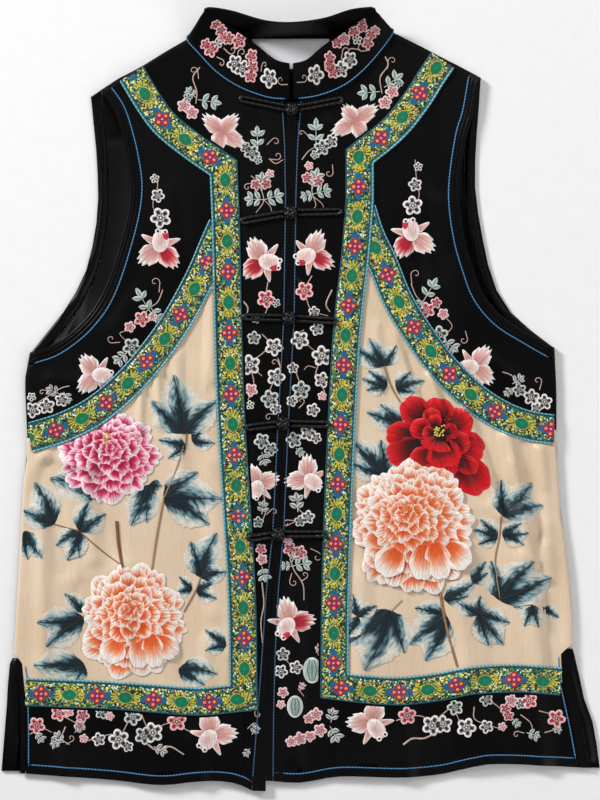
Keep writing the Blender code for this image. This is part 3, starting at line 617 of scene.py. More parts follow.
def emerald_unit(draw, s):
    """The emerald in its yellow outline, and a yellow palmette at both ends of it."""
    for way in (-1, 1):
        for k in (-2, -1, 0, 1, 2):
            ray = (s + way * (11.6 - 0.55 * k * k), 2.3 * k)
            draw(disc(ray, 3.0, 0.8, way * 0.3 * k), 1.4 + 0.25 * dome(), YELLOW)
        for ds in (-2.6, 2.6):
            slant = -0.5 * way * np.sign(ds)
            draw(disc((s + ds, 7.2 * way), 2.2, 0.7, slant), 1.4 + 0.25 * dome(), GOLD)
    for half_length, half_width, lift, colour in ((7.4, 5.9, 1.45, OUTLINE), (6.5, 5.1, 1.65, EMERALD)):
        draw(disc((s, 0), half_length, half_width), lift, colour)
        draw(diamond((s, 0), half_length * 1.2, half_width * 1.1), lift + 0.1, colour)
    draw(diamond((s, 0), 2.4, 1.8), 1.9, GLINT)


def ribbon(name, centre, edges, runs, border=None):
    """A ribbon between its two edges, and its motifs in runs.

    A run has its start and end along the middle line, the place of one emerald and the repeat.
    """
    share = (np.array(RIBBON_EDGE) / (2 * HALF_RIBBON) + 0.5)[None, :, None]
    work = new_work()
    flat = edges[0][:, None] * (1 - share) + edges[1][:, None] * share
    patch(work, flat, np.array(RIBBON_LIFT)[None], (1, 1, 1))
    strip = finish_work(work, f"{name}_woven", JACQUARD, node=name)
    normals = normals_of(centre)
    along = shares_of(centre) * length_of(centre)
    motifs = new_work()

    def draw(local, lift, hex_code):
        """Adds a patch given along and across the ribbon."""
        s, t = local[..., 0], local[..., 1]
        inside = np.clip(s, along[0] + 0.5, along[-1] - 0.5)
        place = np.stack([np.interp(inside, along, values) for values in centre.T], axis=-1)
        across = np.stack([np.interp(inside, along, values) for values in normals.T], axis=-1)
        place = place + across * t[..., None]
        if border is not None:
            away = distance_to(place.reshape(-1, 2), border).reshape(s.shape)
            lift = np.where(away < UNDER_BORDER, HIDDEN, lift)
        patch(motifs, place, lift, tint(hex_code), local)

    for start, end, emerald, repeat in runs:
        first = math.ceil((start - emerald) / (repeat / 2))
        last = math.floor((end - emerald) / (repeat / 2))
        for count in range(first, last + 1):
            (flower_unit if count % 2 else emerald_unit)(draw, emerald + count * repeat / 2)
    for near, far in (edges, edges[::-1]):
        line = near + (far - near) * 0.014
        clear = distance_to(line, centre) > HALF_RIBBON - 0.8  # without the loop inside a corner
        strand_line(motifs, line[clear], 0.7, SELVEDGE, 1.0, 0)
    return strip, finish_work(motifs, f"{name}_motifs", WOVEN)


def part_beyond(line, *limits):
    """The longest part of a line that keeps its distance from other lines."""
    close = walk(line, 0.5)
    kept = np.all([distance_to(close, other) >= distance for other, distance in limits], axis=0)
    runs = np.split(np.arange(len(close)), np.flatnonzero(np.diff(kept.astype(int))) + 1)
    return close[max((run for run in runs if kept[run[0]]), key=len)]


def stepped(lines, step=3.0):
    """Several lines joined, with points a step apart and the corners kept."""
    return joined(*[walk(line, step) for line in lines])


def beside(line, distance):
    """A parallel line, to the left of the first where the distance is positive."""
    return np.asarray(line, float) + normals_of(line) * distance


CENTRES, RIBBONS, RIBBON_LINES = {}, {}, []
# The place of an emerald motif and the repeat, in millimetres: down the border, along the hem
# from the corner, and along the arc. The pattern starts afresh at the corner, as it does there.
PATTERNS = {"right": ((23, 58), (7, 53.3), (40, 55)), "left": ((9.7, 56.6), (35, 55), (9, 56))}
MITRE = 14  # the last motif of the run down the border ends this far above the corner
OVERRUN = 6  # a run starts and ends this far beyond the ribbon, which cuts its motifs off
for side, lines in SIDES.items():
    strap = part_beyond(smooth(lines["strap"]), (lines["shoulder"], 1.2))
    across = part_beyond(smooth(lines["hem_border"]), (lines["slit"], RIBBON_TO_SLIT[side]))
    parts = [strap, np.array(lines["yoke_border"], float), smooth(lines["front_border"]), across]
    border, arc = stepped(parts), smooth(lines["arc"])
    RIBBON_LINES += [stepped(parts, 12), walk(arc, 12)]
    CENTRES[side] = {"border": border, "arc": arc}
    down, (hem_start, hem_repeat), on_arc = PATTERNS[side]
    corner = sum(length_of(part) for part in parts[:3])
    runs = [
        (-OVERRUN, corner - MITRE, *down),
        (corner - 2, length_of(border) + OVERRUN, corner + hem_start, hem_repeat),
    ]
    edges = [beside(border, reach) for reach in (-HALF_RIBBON, HALF_RIBBON)]
    RIBBONS[side, "border"] = ribbon(f"{side}_border_ribbon", border, edges, runs)
    limits = ((border, CLEAR_OF_BORDER), (lines["side"], SHORT_OF_FOLD))
    edges = [part_beyond(beside(arc, reach), *limits) for reach in (-HALF_RIBBON, HALF_RIBBON)]
    edges = [resample(edge, np.linspace(0, 1, 90)) for edge in edges]
    middle_line = walk(part_beyond(arc, *limits), 3)
    runs = [(-OVERRUN, length_of(middle_line) + OVERRUN, *on_arc)]
    RIBBONS[side, "arc"] = ribbon(f"{side}_arc_ribbon", middle_line, edges, runs, border)


# %% [markdown]
# ## Pipings and coloured lines
#
# A corded piping borders each ribbon, thinner along the curve's upper edge. Every binding has a
# thin blue line inside it, sewn over the seam and darker at the opening, and the armholes have
# two ridges of black satin. All are round cords: rings of points that follow a path.

# %% Pipings, and the blue lines inside the bindings
def cord_silk(name, dark, light, roughness, pitch, sheen=0.2, relief=0.7):
    """Twisted or corded silk: slanting strands, pitch millimetres apart along the cord. The dark tone is
    painted shade in the grooves between strands, the light one a painted highlight on their crests.
    """
    made, tree, surface = new_material(name)
    uv = add(tree, "ShaderNodeUVMap", uv_map="threads").outputs["UV"]
    slant = add(tree, "ShaderNodeMapping", {"Vector": uv, "Scale": (1 / 3.2, 1 / pitch, 1)}).outputs["Vector"]
    twist = {"Vector": slant, "Scale": 0.314, "Distortion": 0.3}
    strands = add(tree, "ShaderNodeTexWave", twist, bands_direction="DIAGONAL").outputs["Fac"]
    tone = add(tree, "ShaderNodeValToRGB", {"Fac": strands}, stops=((0.1, dark), (0.8, light)))
    cover(tree, surface, tone.outputs["Color"], roughness, (strands, relief, 0.3), {"Sheen Weight": sheen})
    return made


# On every cord below, the light tone is a painted highlight on the crests of its strands and the dark tone is
# painted shade in the grooves.
PIPING_SILK = cord_silk("blue_green_piping", "#428b9a", "#74bac2", 0.3, 2.0, relief=0.25)
BLUE_LINE = cord_silk("bright_blue_line", "#1e5a8e", "#4c97c8", 0.5, 1.5)
NAVY_LINE = cord_silk("dark_blue_line", "#122c44", "#2f618c", 0.5, 1.5)


def tube(work, path, radius, sides=8):
    """A round cord along a path in 3-D, with its ends drawn in."""
    path = np.asarray(path, float)
    run = np.gradient(path, axis=0)
    run /= np.linalg.norm(run, axis=1)[:, None]
    across = np.cross(run, (0, 0, 1.0))
    weak = np.linalg.norm(across, axis=1) < 0.2
    across[weak] = np.cross(run[weak], (0, 1.0, 0))
    across /= np.linalg.norm(across, axis=1)[:, None]
    over = np.cross(across, run)
    reach = np.full(len(path), float(radius))
    reach[[0, -1]] *= 0.35
    turns = np.linspace(0, 2 * math.pi, sides + 1)
    cos, sin = np.cos(turns)[None, :, None], np.sin(turns)[None, :, None]
    points = path[:, None] + reach[:, None, None] * (cos * across[:, None] + sin * over[:, None])
    along = np.concatenate([[0], np.cumsum(np.linalg.norm(np.diff(path, axis=0), axis=1))])
    threads = np.dstack(np.meshgrid(turns * radius, along))
    patch(work, points[:, :, :2], points[:, :, 2], (1, 1, 1), threads)


def as_placed(points):
    """For work whose points are already in 3-D."""
    return points


def on_front(line, lift):
    """A line on the fronts, as a path in 3-D at a lift above the cloth's upper face."""
    return np.column_stack([line, cloth_height(line) + HALF_CLOTH + lift])


def at_opening(side, inset, ys):
    """The front edge of one side, moved in by a share of its binding and some millimetres."""
    table = {name: [row[at] for row in OPENING[::-1]] for at, name in enumerate(OPENING_COLUMNS)}
    shift = np.interp(ys, table["y"], table[side]) + inset
    return np.stack([np.interp(ys, table["y"], table["x"]) - INWARD[side] * shift, ys], axis=1)


BLUE_RADIUS, RIDGE_RADIUS = 0.55, 0.8
ARMHOLE_SEAM, HEM_SEAM = 10.6, 8.6  # a blue line's distance from the edge of the cloth
EDGE_SEAM = 0.4  # and from the binding, at the front edge and the slit
seams, dark_seams, folds = new_work(), new_work(), new_work()


def round_armhole(side, inset, clear):
    """A line inside the armhole's edge, clear of the shoulder and side folds."""
    lines = SIDES[side]
    limits = ((lines["shoulder"], clear), (lines["side"], clear))
    return part_beyond(beside(smooth(lines["armhole"]), inset * INWARD[side]), *limits)


for side, lines in SIDES.items():
    turn = INWARD[side]
    ys = np.linspace(284, -358, 90)
    parting = np.interp(ys, (190, 241, 284), (0, 1.2, 4.2))  # the two lines part towards the neck
    opening = at_opening(side, EDGE_SEAM + parting, ys)
    hem = smooth(lines["hem"]) + (0, HEM_SEAM)
    hem = hem[(hem[:, 0] + 33) * turn < -16]  # clear of the front edge
    hem = part_beyond(hem, (lines["slit"], SLIT_BINDING[side] + 1.5))
    slit = walk(np.array(lines["slit"], float), 3) + (turn * (SLIT_BINDING[side] + EDGE_SEAM), 0)
    slit = slit[(slit[:, 1] < lines["slit"][0][1] - 10) & (slit[:, 1] > lines["slit"][-1][1] + 9)]
    for line in (round_armhole(side, ARMHOLE_SEAM, 2.5), hem, slit):
        tube(seams, on_front(walk(line, 2.5), 0.35), BLUE_RADIUS, sides=6)
    tube(dark_seams, on_front(walk(opening, 2.5), 0.35), BLUE_RADIUS, sides=6)
    for inset in (3.4, 6.8):
        tube(folds, on_front(walk(round_armhole(side, inset, 3), 3), 0.1), RIDGE_RADIUS)
finish_work(seams, "blue_lines", BLUE_LINE, as_placed)
finish_work(dark_seams, "opening_lines", NAVY_LINE, as_placed)
finish_work(folds, "armhole_ridges", BOUND_SATIN, as_placed)

PIPING_OFFSET, PIPING_RADIUS, THIN_PIPING = 13.5, 1.0, 0.7
for side, lines in SIDES.items():
    border, arc = CENTRES[side]["border"], CENTRES[side]["arc"]
    out = PIPING_OFFSET * INWARD[side]
    limits = ((border, CLEAR_OF_BORDER + 1), (lines["side"], SHORT_OF_FOLD))
    pipings = {
        "border": beside(border, -out),
        "arc_upper": part_beyond(beside(arc, -out), *limits),
        "arc_lower": part_beyond(beside(arc, out), *limits),
    }
    for name, line in pipings.items():
        line = line[distance_to(line, border) > PIPING_OFFSET - 0.3]  # without the loop inside a corner
        cord = new_work()
        radius = THIN_PIPING if name == "arc_upper" else PIPING_RADIUS
        tube(cord, on_front(walk(line, 2.0), 1.5), radius)
        node = f"{side}_{name}_piping"
        finish_work(cord, f"{side}_{name}_cord", PIPING_SILK, as_placed, node)

# %% [markdown]
# ## The collar
#
# The collar stands up, and leans back where the neck lies flat. Its lines are those of the
# model, sampled three times as closely.

# %% Collar
# Rows go round from the right end: base x, y, z and upper edge x, y, z.
COLLAR = (
    (-10.4, 285.5, 7.8, -10.7, 318, 22),
    (-31, 287.0, 7.8, -24, 322, 19),
    (-58, 296.5, 7.8, -38, 333, 17.5),
    (-80, 311, 7.8, -56, 347, 18),
    (-97, 329, 7.8, -73, 358, 21),
    (-107, 341, 7.8, -86, 364, 25),
    (-103, 345.5, 6.0, -90, 369, 29),
    (-90, 344, 3.0, -83, 369.7, 32),
    (-68, 344, 2.7, -64, 366, 35),
    (-38, 345, 2.7, -34, 357, 37),
    (-8, 346, 2.7, -8, 355, 38),
    (26, 347.2, 2.7, 22, 359, 37),
    (52, 348.2, 2.7, 46, 367, 35),
    (72, 349.2, 3.0, 62, 369.7, 32),
    (84, 351, 6.0, 69, 370, 29),
    (87, 348, 7.8, 66, 366, 25),
    (78, 334, 7.8, 55, 359, 21),
    (60, 313, 7.8, 38, 347, 18),
    (40, 297.5, 7.8, 20, 334, 17.5),
    (16, 288.5, 7.8, 6, 322, 19),
    (-6.8, 285.5, 7.8, -7.0, 318, 22),
)
COLLAR_LINES = np.array(COLLAR, float)
COLLAR_BASE, COLLAR_TOP = smooth(COLLAR_LINES[:, :3], 6), smooth(COLLAR_LINES[:, 3:], 6)


def lay_on_collar(points):
    """Places on the collar: (share round from the right end, share up, lift above its outer face)."""
    points = np.asarray(points, float)

    def middle(round_share, up):
        """The middle of the collar's wall at a share round and a share up."""
        at = round_share * (len(COLLAR_BASE) - 1)
        index = np.arange(len(COLLAR_BASE))
        base = np.stack([np.interp(at, index, values) for values in COLLAR_BASE.T], axis=1)
        top = np.stack([np.interp(at, index, values) for values in COLLAR_TOP.T], axis=1)
        return base + up[:, None] * (top - base)

    here = middle(points[:, 0], points[:, 1])
    along = middle(points[:, 0] + 0.004, points[:, 1]) - middle(points[:, 0] - 0.004, points[:, 1])
    up = middle(points[:, 0], points[:, 1] + 0.1) - middle(points[:, 0], points[:, 1] - 0.1)
    out = np.cross(up, along)
    out /= np.linalg.norm(out, axis=1)[:, None]
    return here + out * points[:, 2:]


def shell(rounds, ups, wall, lay):
    """The mesh of a closed wall on a surface: a skin on either face, joined at the rim."""
    a, b = np.meshgrid(rounds, ups)
    flat = np.column_stack([a.ravel(), b.ravel()])
    skins = [lay(np.column_stack([flat, np.full(len(flat), lift)])) for lift in (wall / 2, -wall / 2)]
    rows, columns = a.shape
    index = np.arange(rows * columns).reshape(rows, columns)
    quads = np.stack([index[:-1, :-1], index[:-1, 1:], index[1:, 1:], index[1:, :-1]], axis=2).reshape(-1, 4)
    rim = np.concatenate([index[0, :-1], index[:-1, -1], index[-1, :0:-1], index[:0:-1, 0]])
    after, under = np.roll(rim, -1), rows * columns
    walls = np.stack([after, rim, rim + under, after + under], axis=1)
    faces = np.vstack([quads, quads[:, ::-1] + under, walls])
    mesh = bpy.data.meshes.new("shell")
    mesh.from_pydata((np.vstack(skins) * MM).tolist(), [], faces.tolist())
    mesh.shade_smooth()
    mesh.set_sharp_from_angle(angle=EDGE_ANGLE)
    return mesh


COLLAR_WALL = 2.2
wall = shell(np.linspace(0, 1, 121), np.linspace(0, 1, 9), COLLAR_WALL, lay_on_collar)
show("collar_cloth", wall, BLACK_SILK, "collar")

# %% [markdown]
# ## The label
#
# A woven satin label is sewn inside the back of the neck: the weave of its tape, and the
# stitches along its two long edges.

# %% Label
def label_tape():
    """White satin tape: a fine cross weave about 0.8 mm apart, and a faint lilac cast."""
    made, tree, surface = new_material("white_label_tape")
    place = add(tree, "ShaderNodeTexCoord").outputs["Object"]
    weft = {"Vector": place, "Scale": 200.0, "Distortion": 1.0}
    weave = add(tree, "ShaderNodeTexWave", weft, bands_direction="Y").outputs["Fac"]
    tone = add(tree, "ShaderNodeValToRGB", {"Fac": weave}, stops=((0.0, "#f1ecf4"), (1.0, "#ffffff")))
    cover(tree, surface, tone.outputs["Color"], 0.4, (weave, 0.3, 0.1), {"Sheen Weight": 0.2})
    return made


refined("label", 3, label_tape(), creased=False)
stitches = new_work()
LABEL_TOP, LABEL_EDGES, STITCH_STEP = 2.5, (315.2, 341.8), 3.2
STITCH = ((0, 0), (0.4, 0.3), (1.6, 0.3), (2, 0))  # along and up
for y in LABEL_EDGES:
    for x in np.arange(-44.5, 26, STITCH_STEP):
        tube(stitches, [(x + along, y, LABEL_TOP + up) for along, up in STITCH], 0.25, sides=6)
thread = cord_silk("white_sewing_thread", "#c9c2cf", "#f4f0f6", 0.5, 1.0)
label_stitches = finish_work(stitches, "label_stitches", thread, as_placed)

# %% [markdown]
# ## Frog fastenings
#
# Each frog is a narrow tube of black satin, doubled and sewn down, with a loop at its end. The
# button between the two is a tube of the same satin tied in a ball knot. Its path here goes
# three times round the ball, and passes over and under itself at each crossing.

# %% Frogs
# The outer end of the right cord, the knot, and the outer end of the left cord, from the neck down.
FROGS = (
    (-57, 286, -8.5, 276, 39, 285),
    (-56, 170, -9.5, 178, 38, 179),
    (-54, 79, -11, 78, 33, 75),
    (-51, -26, -16.5, -22, 26, -23),
    (-49, -131, -21.5, -127, 22, -127),
)
CORD_RADIUS, CORD_APART, LOOP_REACH = 1.75, 2.2, 2.6
BALL_RADIUS, BALL_HALF_HEIGHT, BALL_CORD = 4.6, 3.1, 1.55
BALL_RISE = 5.8  # from the middle of the cloth to the middle of the ball
FROG_SATIN = cord_silk("black_frog_satin", "#020202", "#0b090c", 0.36, 3.0, 0.0)
BORDER_LINES = [CENTRES[side]["border"] for side in SIDES]


def cord_path(line):
    """A cord lies on the bound edges, and rises over a ribbon where its end reaches one."""
    over = np.clip((HALF_RIBBON + 6 - nearest_of(line, BORDER_LINES)) / 3.5, 0, 1)
    return on_front(line, 2.2 + 1.3 * over)


def knot_path(middle, reach, half_height):
    """Three turns round an oval ball, over and under by turns."""
    turn = np.linspace(0, 6 * math.pi, 145)
    rise = 1.05 * np.sin(4 * turn / 3)
    out = 1 + 0.16 * np.sin(8 * turn / 3 + 0.9)
    level = np.cos(rise) * out
    x, y = level * np.cos(turn) * reach, level * np.sin(turn) * reach
    return middle + np.stack([x, y, np.sin(rise) * out * half_height], axis=1)


for number, (right_x, right_y, knot_x, knot_y, left_x, left_y) in enumerate(FROGS, start=1):
    knot = np.array([knot_x, knot_y], float)
    for side, end in (("right", (right_x, right_y)), ("left", (left_x, left_y))):
        out = (end - knot) / np.linalg.norm(end - knot)
        apart = np.array([-out[1], out[0]]) * CORD_APART
        near, far = knot + out * 5.5, end - out * CORD_APART
        strand = near + np.linspace(0, 1, 16)[:, None] * (far - near)
        angles = np.radians(np.linspace(70, -70, 9))[:, None]
        bend = far + np.cos(angles) * out * LOOP_REACH + np.sin(angles) * apart
        cords = new_work()
        hairpin = np.vstack([strand + apart, bend, strand[::-1] - apart])
        tube(cords, cord_path(hairpin), CORD_RADIUS, sides=10)
        name, node = f"frog_{number}_{side}_twist", f"frog_{number}_{side}_cord"
        finish_work(cords, name, FROG_SATIN, as_placed, node)
    balls = new_work()
    middle = np.array([*knot, cloth_height(knot[None])[0] + BALL_RISE])
    tube(balls, knot_path(middle, BALL_RADIUS, BALL_HALF_HEIGHT), BALL_CORD, sides=10)
    name, node = f"frog_{number}_ball", f"frog_{number}_knot"
    finish_work(balls, name, FROG_SATIN, as_placed, node)

# %% [markdown]
# ## Embroidery: how a petal is sewn
#
# The flowers are worked in long-and-short stitch: rows of silk stitches that fan out from the
# base of a petal and run into each other, so that one shade melts into the next in a ragged
# line. A petal here is a grid with one column to a strand about 0.8 mm wide (real strands are
# finer). Each column takes its shades a little earlier or later than the next, as stitches do.

# %% Petals and leaves
STRAND = 0.75  # the width of a strand of stitches
GOLDEN_ANGLE = 2.39996


def axes(base, tip):
    """A shape's base, the way from it to its tip, the length of that, and the unit vector across it."""
    base, run = np.asarray(base, float), np.subtract(tip, base)
    length = np.linalg.norm(run)
    return base, run, length, np.array([-run[1], run[0]]) / length


def shaded(places, stops):
    """Colours on a ramp of (place, hex) stops."""
    spots = [place for place, _ in stops]
    values = np.array([tint(code) for _, code in stops])
    return np.stack([np.interp(places, spots, channel) for channel in values.T], axis=-1)


def petal(
    work, base, tip, half_width, stops, lift,
    lobes=3, frill=0.1, round_tip=0.3, narrow=0.4, puff=0.5, pointed=False,
):
    """One petal. Its shades run from the base (0) towards the tip (0.6), and on to its pale rim (1). The
    deepest shades at the base are partly dyed and partly painted shade where petals overlap.
    """
    base, run, length, across = axes(base, tip)
    columns = int(np.clip(2 * half_width / STRAND, 7, 29))
    c, t = np.meshgrid(np.linspace(-1, 1, columns), np.linspace(0, 1, 9) ** 0.8)
    wave = lobes * math.pi * (c + 1) / 2
    scallops = 0.4 - 1.3 * np.abs(np.cos(wave)) if pointed else np.abs(np.sin(wave)) - 0.6
    reach = 1 - round_tip * c**2 + frill * scallops
    width = narrow + (1 - narrow) * np.sin(math.pi / 2 * t**0.8)
    flat = base + (t * reach)[..., None] * run + (c * width)[..., None] * (across * half_width)
    margin = 1.1 + 0.36 * half_width
    to_rim = np.minimum((1 - t) * length, (1 - np.abs(c)) * half_width + (1 - t) * 0.3 * length)
    ragged = chance.uniform(-0.45, 0.45, columns) * margin * (to_rim > 0.3)
    shade = np.maximum(0.6 * t**1.3, 1 - (to_rim + ragged) / (2 * margin))
    colours = shaded(shade, stops) * chance.uniform(0.88, 1.08, columns)[None, :, None]
    rise = lift + puff * np.sin(math.pi * t**1.6) * (1 - 0.4 * c**2) - 0.25 * (t > 0.99)
    patch(work, flat, rise, colours, np.stack([c * half_width, t * length], axis=-1))


def peony(work, heart, middle, half_width, half_height, count, stops, lift=0.5, layer=0.03):
    """Petals that overlap like scales, from the outside in, each turned a golden angle from the last."""
    heart, middle = np.asarray(heart, float), np.asarray(middle, float)
    size = np.array([half_width, half_height])
    for k in range(count - 1, -1, -1):
        reach = ((k + 0.6) / count) ** 0.55 * chance.uniform(0.95, 1.03)
        turn = GOLDEN_ANGLE * k + chance.uniform(-0.15, 0.15)
        out = np.array([math.cos(turn), math.sin(turn)]) * size
        centre = heart + (middle - heart) * reach
        long = (0.2 + 0.3 * reach) * size.mean()
        wide = (0.09 + 0.17 * reach) * size.mean() * chance.uniform(0.8, 1.25)
        ahead = out / np.linalg.norm(out)
        tip = centre + out * reach
        level, lobes = lift + layer * (count - k), int(chance.integers(1, 4))
        petal(work, tip - ahead * long, tip, wide, stops, level, lobes, 0.14, 0.4)


LEAF_SHADES = ((0.34, "#13262e"), (0.5, "#486f7a"), (0.74, "#9dbbc0"), (1.0, "#e2d8c8"))
VEIN = "#0c1c24"


def leaf(work, base, tips, lift=0.2, dark=0.37):
    """A leaf of one or more lobes: one dark heart that feathers out along each vein into a pale margin."""
    base = np.asarray(base, float)
    lobes = []
    for tip in tips:
        _, run, length, across = axes(base, tip)
        lobes.append((run, length, 0.33 * length + 1.4, across, chance.uniform(-0.06, 0.06)))

    def paleness(points):
        """0 in the heart and along the veins, 1 at the margin: the least that any lobe gives."""
        least = np.full(points.shape[:-1], 2.0)
        for run, length, half_width, across, bend in lobes:
            away = points - base
            t = away @ run / length**2
            on_vein = np.clip(t, 0, 1)
            aside = away @ across - bend * length * np.sin(math.pi * on_vein)
            out = np.hypot(aside, (t - on_vein) * length) / half_width
            from_heart = (0.95 * out - dark * (1.3 - 1.2 * on_vein)) / 0.66
            least = np.minimum(least, from_heart + 0.46 + 0.3 * (on_vein - 0.5))
        return least

    c, t = np.meshgrid(np.linspace(-1, 1, 19), np.linspace(0, 1, 15))
    tooth = np.where(np.arange(15) % 2, 0.07, -0.07)[:, None]
    width = np.sin(math.pi * np.clip(t, 0.015, 0.97) ** 1.25) ** 0.62 * (1 + tooth * c**4)
    for number, (run, length, half_width, across, bend) in enumerate(lobes):
        reach = 1 - 0.1 * c**2 + 0.05 * np.abs(np.sin(4.5 * c))
        aside = c * width * half_width + bend * length * np.sin(math.pi * t)
        flat = base + (t * reach)[..., None] * run + aside[..., None] * across
        place = np.clip(paleness(flat) + chance.uniform(-0.26, 0.26, c.shape), 0, 1)
        colours = shaded(place, LEAF_SHADES)
        level = lift + 0.2 * number
        rise = level + 0.15 * (1 - c**2) * np.sin(math.pi * t) ** 0.5 - 0.15 * (np.abs(c) > 0.99)
        threads = np.stack([t * length - 0.7 * np.abs(c) * half_width, np.abs(c) * half_width], axis=-1)
        patch(work, flat, rise, colours, threads)
        along = np.linspace(0, 1.04, 9)[:, None]
        vein = base + along * run + bend * length * np.sin(math.pi * along) * across
        strand_line(work, vein, 0.6, VEIN, level + 0.15)


DIPS_AT = 14.2  # from a ribbon's middle line, where the work meets the cloth


def lay_embroidery(points):
    """Places on the fronts: the work dips under a ribbon's edge, and stops at the side folds."""
    flat = points[:, :2].copy()
    for side, lines in SIDES.items():
        fold = np.array(lines["side"][::-1], float)
        edge = np.interp(flat[:, 1], fold[:, 1], fold[:, 0]) + SHORT_OF_FOLD * INWARD[side]
        beyond = (edge - flat[:, 0]) * INWARD[side] > 0
        beyond &= (flat[:, 1] > fold[0, 1]) & (flat[:, 1] < fold[-1, 1])
        flat[beyond, 0] = edge[beyond]
    under = np.clip(0.8 * (nearest_of(flat, RIBBON_LINES) - DIPS_AT), -1.4, None)
    return lay_on_fronts(np.column_stack([flat, np.minimum(points[:, 2], under)]))


# %% [markdown]
# ## The peonies
#
# Four peonies fill the cream panels. Each grows from a heart that lies off its middle: rings of
# petals with a deep base, partly dyed and partly painted shade where the petals overlap, and a
# pale frilled edge. The red one is made of fewer, larger petals, placed one by one, with painted
# shade, near black, in its hollows and at its heart, and a tuft of gold knots.

# %% Peonies
# Ramps from a petal's base to its rim. The deepest stops at the base are partly the dye of the silk and
# partly painted shade where the petals overlap; the red ramp's near-black base is painted shade.
ORANGE_AND_PAINTED_SHADE = (
    (0.0, "#c4330a"), (0.25, "#e0531c"), (0.42, "#ef8557"), (0.54, "#f8c3a6"), (0.68, "#fdeadf"),
    (1.0, "#fffaf3"),
)
OUTER_ORANGE = (
    (0.0, "#dd4f1a"), (0.16, "#e96a33"), (0.28, "#f4a27c"), (0.4, "#fbdccb"), (0.6, "#fef3ea"),
    (1.0, "#fffaf3"),
)
PINK_AND_PAINTED_SHADE = (
    (0.0, "#6a0422"), (0.28, "#b10c3f"), (0.42, "#dc3a70"), (0.56, "#f193b0"), (0.72, "#fddfe7"),
    (1.0, "#fff6f8"),
)
RED_AND_PAINTED_SHADE = (
    (0.0, "#120204"), (0.18, "#3a050a"), (0.32, "#8c0811"), (0.46, "#c40c17"), (0.8, "#e0121e"),
    (1.0, "#ea222c"),
)
# The large petals at the foot of each orange peony: base, tip and half width.
LOW_PETALS = (
    ((120, 640), (106, 661), 13), ((158, 638), (176, 656), 12), ((142, 636), (139, 668), 11),
    ((150, 634), (157, 667), 11),
)
UPPER_PETALS = (
    ((398, 550), (380, 574), 15), ((446, 545), (468, 566), 14), ((424, 545), (421, 580), 13),
    ((434, 543), (442, 579), 13),
)


def knots(work, x, y, spread, count, size, colour, lift, rise):
    """French knots scattered about a pixel of the photo."""
    for dx, dy in chance.uniform(-1, 1, (count, 2)) * spread:
        dot(work, spot(x + dx, y + dy), *size, colour, lift, rise, n=3)


def low_petals(work, table, lift):
    for base, tip, wide in table:
        petal(work, spot(*base), spot(*tip), wide, OUTER_ORANGE, lift, 2, 0.07, 0.4)


flowers = new_work()
peony(flowers, spot(128, 607), spot(134, 622), 53, 59, 70, ORANGE_AND_PAINTED_SHADE, 0.9)
low_petals(flowers, LOW_PETALS, 2.6)
pink_flower = new_work()
peony(pink_flower, spot(112, 446), spot(107, 456), 52, 48, 58, PINK_AND_PAINTED_SHADE, 0.9)
knots(pink_flower, 107, 438, (3.5, 6), 16, (1.1, 0.8), "#e0b13c", 3.4, 0.3)

red_flower = new_work()
RED_PETALS = (  # base, tip and half width, from the outer petals to the inner ones
    ((455, 455), (484, 492), 17), ((446, 440), (484, 452), 15), ((444, 432), (470, 414), 14),
    ((436, 425), (440, 398), 15), ((428, 425), (404, 400), 14), ((420, 436), (386, 434), 13),
    ((422, 446), (387, 456), 14), ((440, 455), (446, 478), 17), ((452, 458), (478, 470), 9),
    ((436, 428), (428, 408), 9), ((430, 434), (411, 424), 10), ((438, 452), (410, 462), 11),
    ((446, 446), (470, 440), 11), ((440, 440), (447, 468), 17), ((438, 440), (434, 452), 15),
    ((436, 430), (433, 414), 7), ((434, 434), (422, 432), 7), ((444, 434), (457, 428), 8),
)
for number, (base, tip, wide) in enumerate(RED_PETALS):
    petal(red_flower, spot(*base), spot(*tip), wide, RED_AND_PAINTED_SHADE, 0.5 + 0.16 * number, 2, frill=0.07, puff=0.9)
# A dark maroon disc under the knots: painted shade in the heart of the red peony.
dot(red_flower, spot(440, 431), 7.5, 8.5, "#2c0408", 3.1, 0.2, n=7)
knots(red_flower, 439.5, 430, (5, 6), 26, (0.9, 0.9), "#e6cf5a", 3.9, 0.4)
peony(red_flower, spot(404, 510), spot(412, 526), 62, 68, 80, ORANGE_AND_PAINTED_SHADE, 2.2)
low_petals(red_flower, UPPER_PETALS, 4.6)

